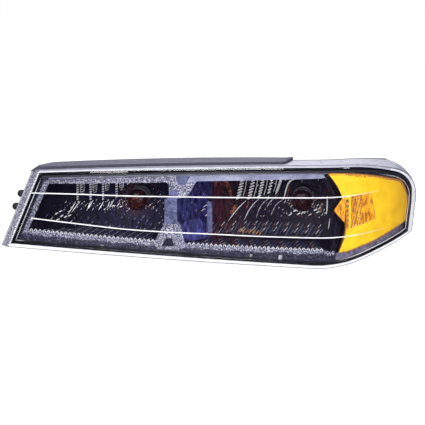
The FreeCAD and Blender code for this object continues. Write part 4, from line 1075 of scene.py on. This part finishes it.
AMBER_LINE = [(493.5, -23.5), (449.8, -40.5), (416, -50), (406.5, -49.6, -92), (391.3, 49.6, 247),
              (483.5, 31.5, 60), (495.8, -4)]
POCKET = [(420.6, -20.4), (420.6, 19.8), (445, 22.6), (452.3, -12)]
BAR = [(413.9, -20), (413.9, 16), (418.2, 16.6), (418.2, -20.4)]


def marker():
    """Amber cap with a sunk pocket of flutes and a dashed bar beside it."""
    plain, rim, optic, shade = range(4)
    front, margin, round_off = 8, 7.6, 1.1
    base = outline(AMBER_LINE, 1.8)
    back = drawn_in(base, 2.6)
    steps = rounding(round_off, front, (0, 30, 60, 90))
    loops = [list(map(sheet(depth, margin), drawn_in(base, cut))) for cut, depth in steps]
    loops += [list(map(sheet(depth, margin), base)) for depth in (16, 26, 35.5)]
    loops += [list(map(sheet(depth, 9), back)) for depth in (35.5, 24, 10.5)]
    pocket, bar = outline(POCKET, 1.5), outline(BAR, 1.5)
    flat, tris = fill(drawn_in(base, round_off), spacing=1.6, lines=[pocket + pocket[:1], bar + bar[:1]])
    spots = np.array([tuple(p) for p in flat])
    sunk = inside(spots, inset(pocket, 0.4))
    barred = inside(spots, inset(bar, 0.3)) & inside(spots, drawn_in(base, round_off + 0.2))
    verts = []
    for (x, z), deep, dashed in zip(flat, sunk, barred):
        y = on_end(x, front, margin)
        if deep:
            y += 1.4 - 0.6 * pillow((x - 0.22 * z) / 3.4)
        if dashed:
            y += 0.5 + 0.5 * pillow(z / 6)
        verts.append((x, y, z))
    middle = middles(flat, tris)
    zones = [inside(middle, line) for line in (pocket, bar, drawn_in(base, 2.4), drawn_in(base, 4.2))]
    kinds = []
    for (x, z), in_pocket, in_bar, inner, clear_of_edge in zip(middle, *zones):
        mottle = sin(x * 1.9 + z) * sin(z * 2.3 - x * 0.7)
        if in_bar:
            kinds.append(shade if (z / 6) % 1 < 0.62 else optic)
        elif in_pocket:
            kinds.append(shade if ((x - 0.22 * z) / 3.4) % 1 < 0.34 and x < 434 else optic)
        elif x < 440 and z > 30 and not clear_of_edge and mottle > -0.3:
            kinds.append(optic)
        else:
            kinds.append(rim if not inner and x > 412 else plain)
    cap = Shell()
    cap.take(verts, tris, kinds)
    cap.rings(loops, rim)
    points, tris = fill(back, spacing=6)
    cap.take(list(map(sheet(10.5, 9), points)), tris, plain)
    cap.add("amber_cap", "amber_lens", [AMBER, AMBER_RIM, AMBER_DEEP, AMBER_DARK], ["marker_lens"])
    points, tris = fill(outline([(414, -13.5), (399.8, 3.3), (413, 22.5)], 2), spacing=2.5)
    prism = Shell()
    prism.thick(points, tris, lambda p: (p.x, skin(p.x, 7.9) - 0.1 * (p.x - 413), p.y), sheet(11))
    prism.add("amber_side_prism", "amber_lens", [AMBER_DEEP])


marker()


# ---- top strip
def top_strip():
    """Foam strip with lengthwise ribs on the lens's top skirt."""
    shares = [k / 32 for k in range(33)]
    profile = [(share, 2.1 + 0.6 * (1 - cos(8 * pi * share))) for share in shares]
    profile[0], profile[-1] = (0, 0.9), (1, 0.9)
    crests = [1 if low[1] + high[1] > 5.4 else 0 for low, high in zip(profile, profile[1:])] + [0] * 4
    section = [*profile, (1, 0), (0.5, 0), (0, 0)]
    xs = [34.5, 37, 40, 43, *np.linspace(46, 349.5, 80)]
    loops = []
    for x in xs:
        along = min(1, max(0, (x - 44) / 306))
        thin = min(1, max(0.12, (x - 33) / 14))
        foot = 55.4 + 6.6 * along + bow(max(x, 44) - 197, 153, 4600) - max(0, 44 - x) * 0.35
        front, rear = 5.2 + 21.8 * max(0, x - 46) / 295, 41 + 25 * along
        front -= 0.000407 * (x - 46) * (341 - x) if x > 46 else 0
        rear = front + (rear - front) * min(1, max(0.08, (x - 34) / 22))
        front += (rear - front) * max(0, x - 341) / 9 * 0.96
        loops.append([(x, front + (rear - front) * share, min(foot + tall * thin, STRIP_TOP))
                      for share, tall in section])
    strip = Shell()
    strip.rings(loops, capped=True)
    # Faces high on each rib take the paler foam: painted highlight.
    strip.kinds = [crest if x > 45 else 0 for x in xs[:-1] for crest in crests] + [0, 0]
    strip.add("ribbed_strip", "foam_black", [FOAM, FOAM_CREST_HIGHLIGHT], ["top_weatherstrip"])


top_strip()


# ---- rear stiffening ribs
def tub_ribs():
    """Thin drafted ribs moulded on the tub's rear walls, clear of the holders, vents and adjuster."""
    inner, outer, tall, half = 95, 130, 3.2, 0.9
    bars = [(x, -22 if x > 60 else -10, x, 33, inner) for x in (40, 84, 128, 188)]
    bars += [(84, 35, 200, 38, inner), (40, -23, 200, -30, inner)]
    bars += [(x, -22 if x == 298 else -30, x, 38, outer) for x in (222, 298, 334, 392)]
    bars += [(214, 40, 398, 42, outer), (294, -40, 398, -46, outer),
             (214, -14, 244, -14, outer)]
    ribs = Shell()
    for x0, z0, x1, z1, wall in bars:
        way = Vector((x1 - x0, z1 - z0)).normalized()
        loops = []
        for y, share in ((-0.4, 1), (tall - 0.5, 0.64), (tall, 0.385)):
            dx, dz = -way.y * half * share, way.x * half * share
            loops.append([(x + dx * s, wall + y, z + dz * s)
                          for x, z, s in ((x0, z0, -1), (x1, z1, -1), (x1, z1, 1), (x0, z0, 1))])
        ribs.rings(loops, capped=True)
    ribs.add("tub_ribs", "housing_black", [BLACK], soften=0.25)


tub_ribs()

# ---- camera, lights and floor
AIM = Vector((0.19, -0.13, -0.032))
azimuth, elevation, distance = radians(5), radians(11), 1.45
eye = AIM + distance * Vector((sin(azimuth) * cos(elevation), -cos(azimuth) * cos(elevation), sin(elevation)))
camera = in_scene("camera", bpy.data.cameras.new("camera"))
camera.data.lens, camera.data.sensor_width = 100, 36
camera.location = eye
camera.rotation_euler = (AIM - eye).to_track_quat("-Z", "Y").to_euler()
bpy.context.scene.camera = camera


def softbox(name, where, wide, tall, power, target=(0.2, -0.1, 0)):
    """A plain rectangular studio light."""
    lamp = bpy.data.lights.new(name, "AREA")
    lamp.shape, lamp.size, lamp.size_y, lamp.energy = "RECTANGLE", wide, tall, power
    obj = in_scene(name, lamp)
    obj.location = where
    obj.rotation_euler = (Vector(target) - Vector(where)).to_track_quat("-Z", "Y").to_euler()


softbox("overhead", (0.2, -0.4, 1.5), 1.6, 0.9, 13)
softbox("front", (0.3, -2.3, 1.1), 1.8, 0.9, 16)
softbox("front_low", (0.3, -2.4, 0.16), 1.5, 0.34, 13)
softbox("strip_left", (-1.1, -1.1, 0.45), 0.16, 1.2, 5, (0.15, -0.1, 0))
softbox("strip_right", (1.45, -1, 0.5), 0.16, 1.2, 5)
softbox("rear", (0.2, 1.9, 1.1), 1.8, 0.9, 24, (0.2, 0, 0))

world = bpy.data.worlds.new("studio")
bpy.context.scene.world = world
sky = Nodes(world)
path = sky.node("ShaderNodeLightPath")
bounced = sky.node("ShaderNodeMath", operation="ADD")
sky.link(path, "Glossy Depth", bounced, 0)
sky.link(path, "Diffuse Depth", bounced, 1)
direct = sky.node("ShaderNodeMath", {1: 0.5}, operation="LESS_THAN")
sky.link(bounced, 0, direct, 0)
straight = sky.node("ShaderNodeMath", operation="MULTIPLY")
sky.link(path, "Is Transmission Ray", straight, 0)
sky.link(direct, 0, straight, 1)
seen = sky.node("ShaderNodeMath", operation="MAXIMUM")
sky.link(path, "Is Camera Ray", seen, 0)
sky.link(straight, 0, seen, 1)
mix = sky.node("ShaderNodeMix", {"A": (0.035, 0.03, 0.075, 1), "B": (1, 1, 1, 1)}, data_type="RGBA")
sky.link(seen, 0, mix, "Factor")
back = sky.node("ShaderNodeBackground")
sky.link(mix, "Result", back, "Color")
sky.link(back, 0, sky.node("ShaderNodeOutputWorld"), "Surface")

floor_mesh = bpy.data.meshes.new("floor")
low, far = CAD_BOX[0][2] - 0.0006, 30
corners = [(-far, -far, low), (far, -far, low), (far, far, low), (-far, far, low)]
floor_mesh.from_pydata(corners, [], [(0, 1, 2, 3)])
floor_obj = in_scene("floor", floor_mesh)
paper = Finish("white paper", (0.9, 0.9, 0.9), 0.9, Emission_Color=(1, 1, 1, 1), Emission_Strength=0.985)
paper.colour(paper.noise(3), [(0.3, (0.24, 0.24, 0.24)), (0.7, (0.26, 0.26, 0.26))])
floor_mesh.materials.append(paper.made)
floor_obj.visible_glossy = False
floor_obj.visible_transmission = False

bpy.context.scene.view_settings.view_transform = "Standard"
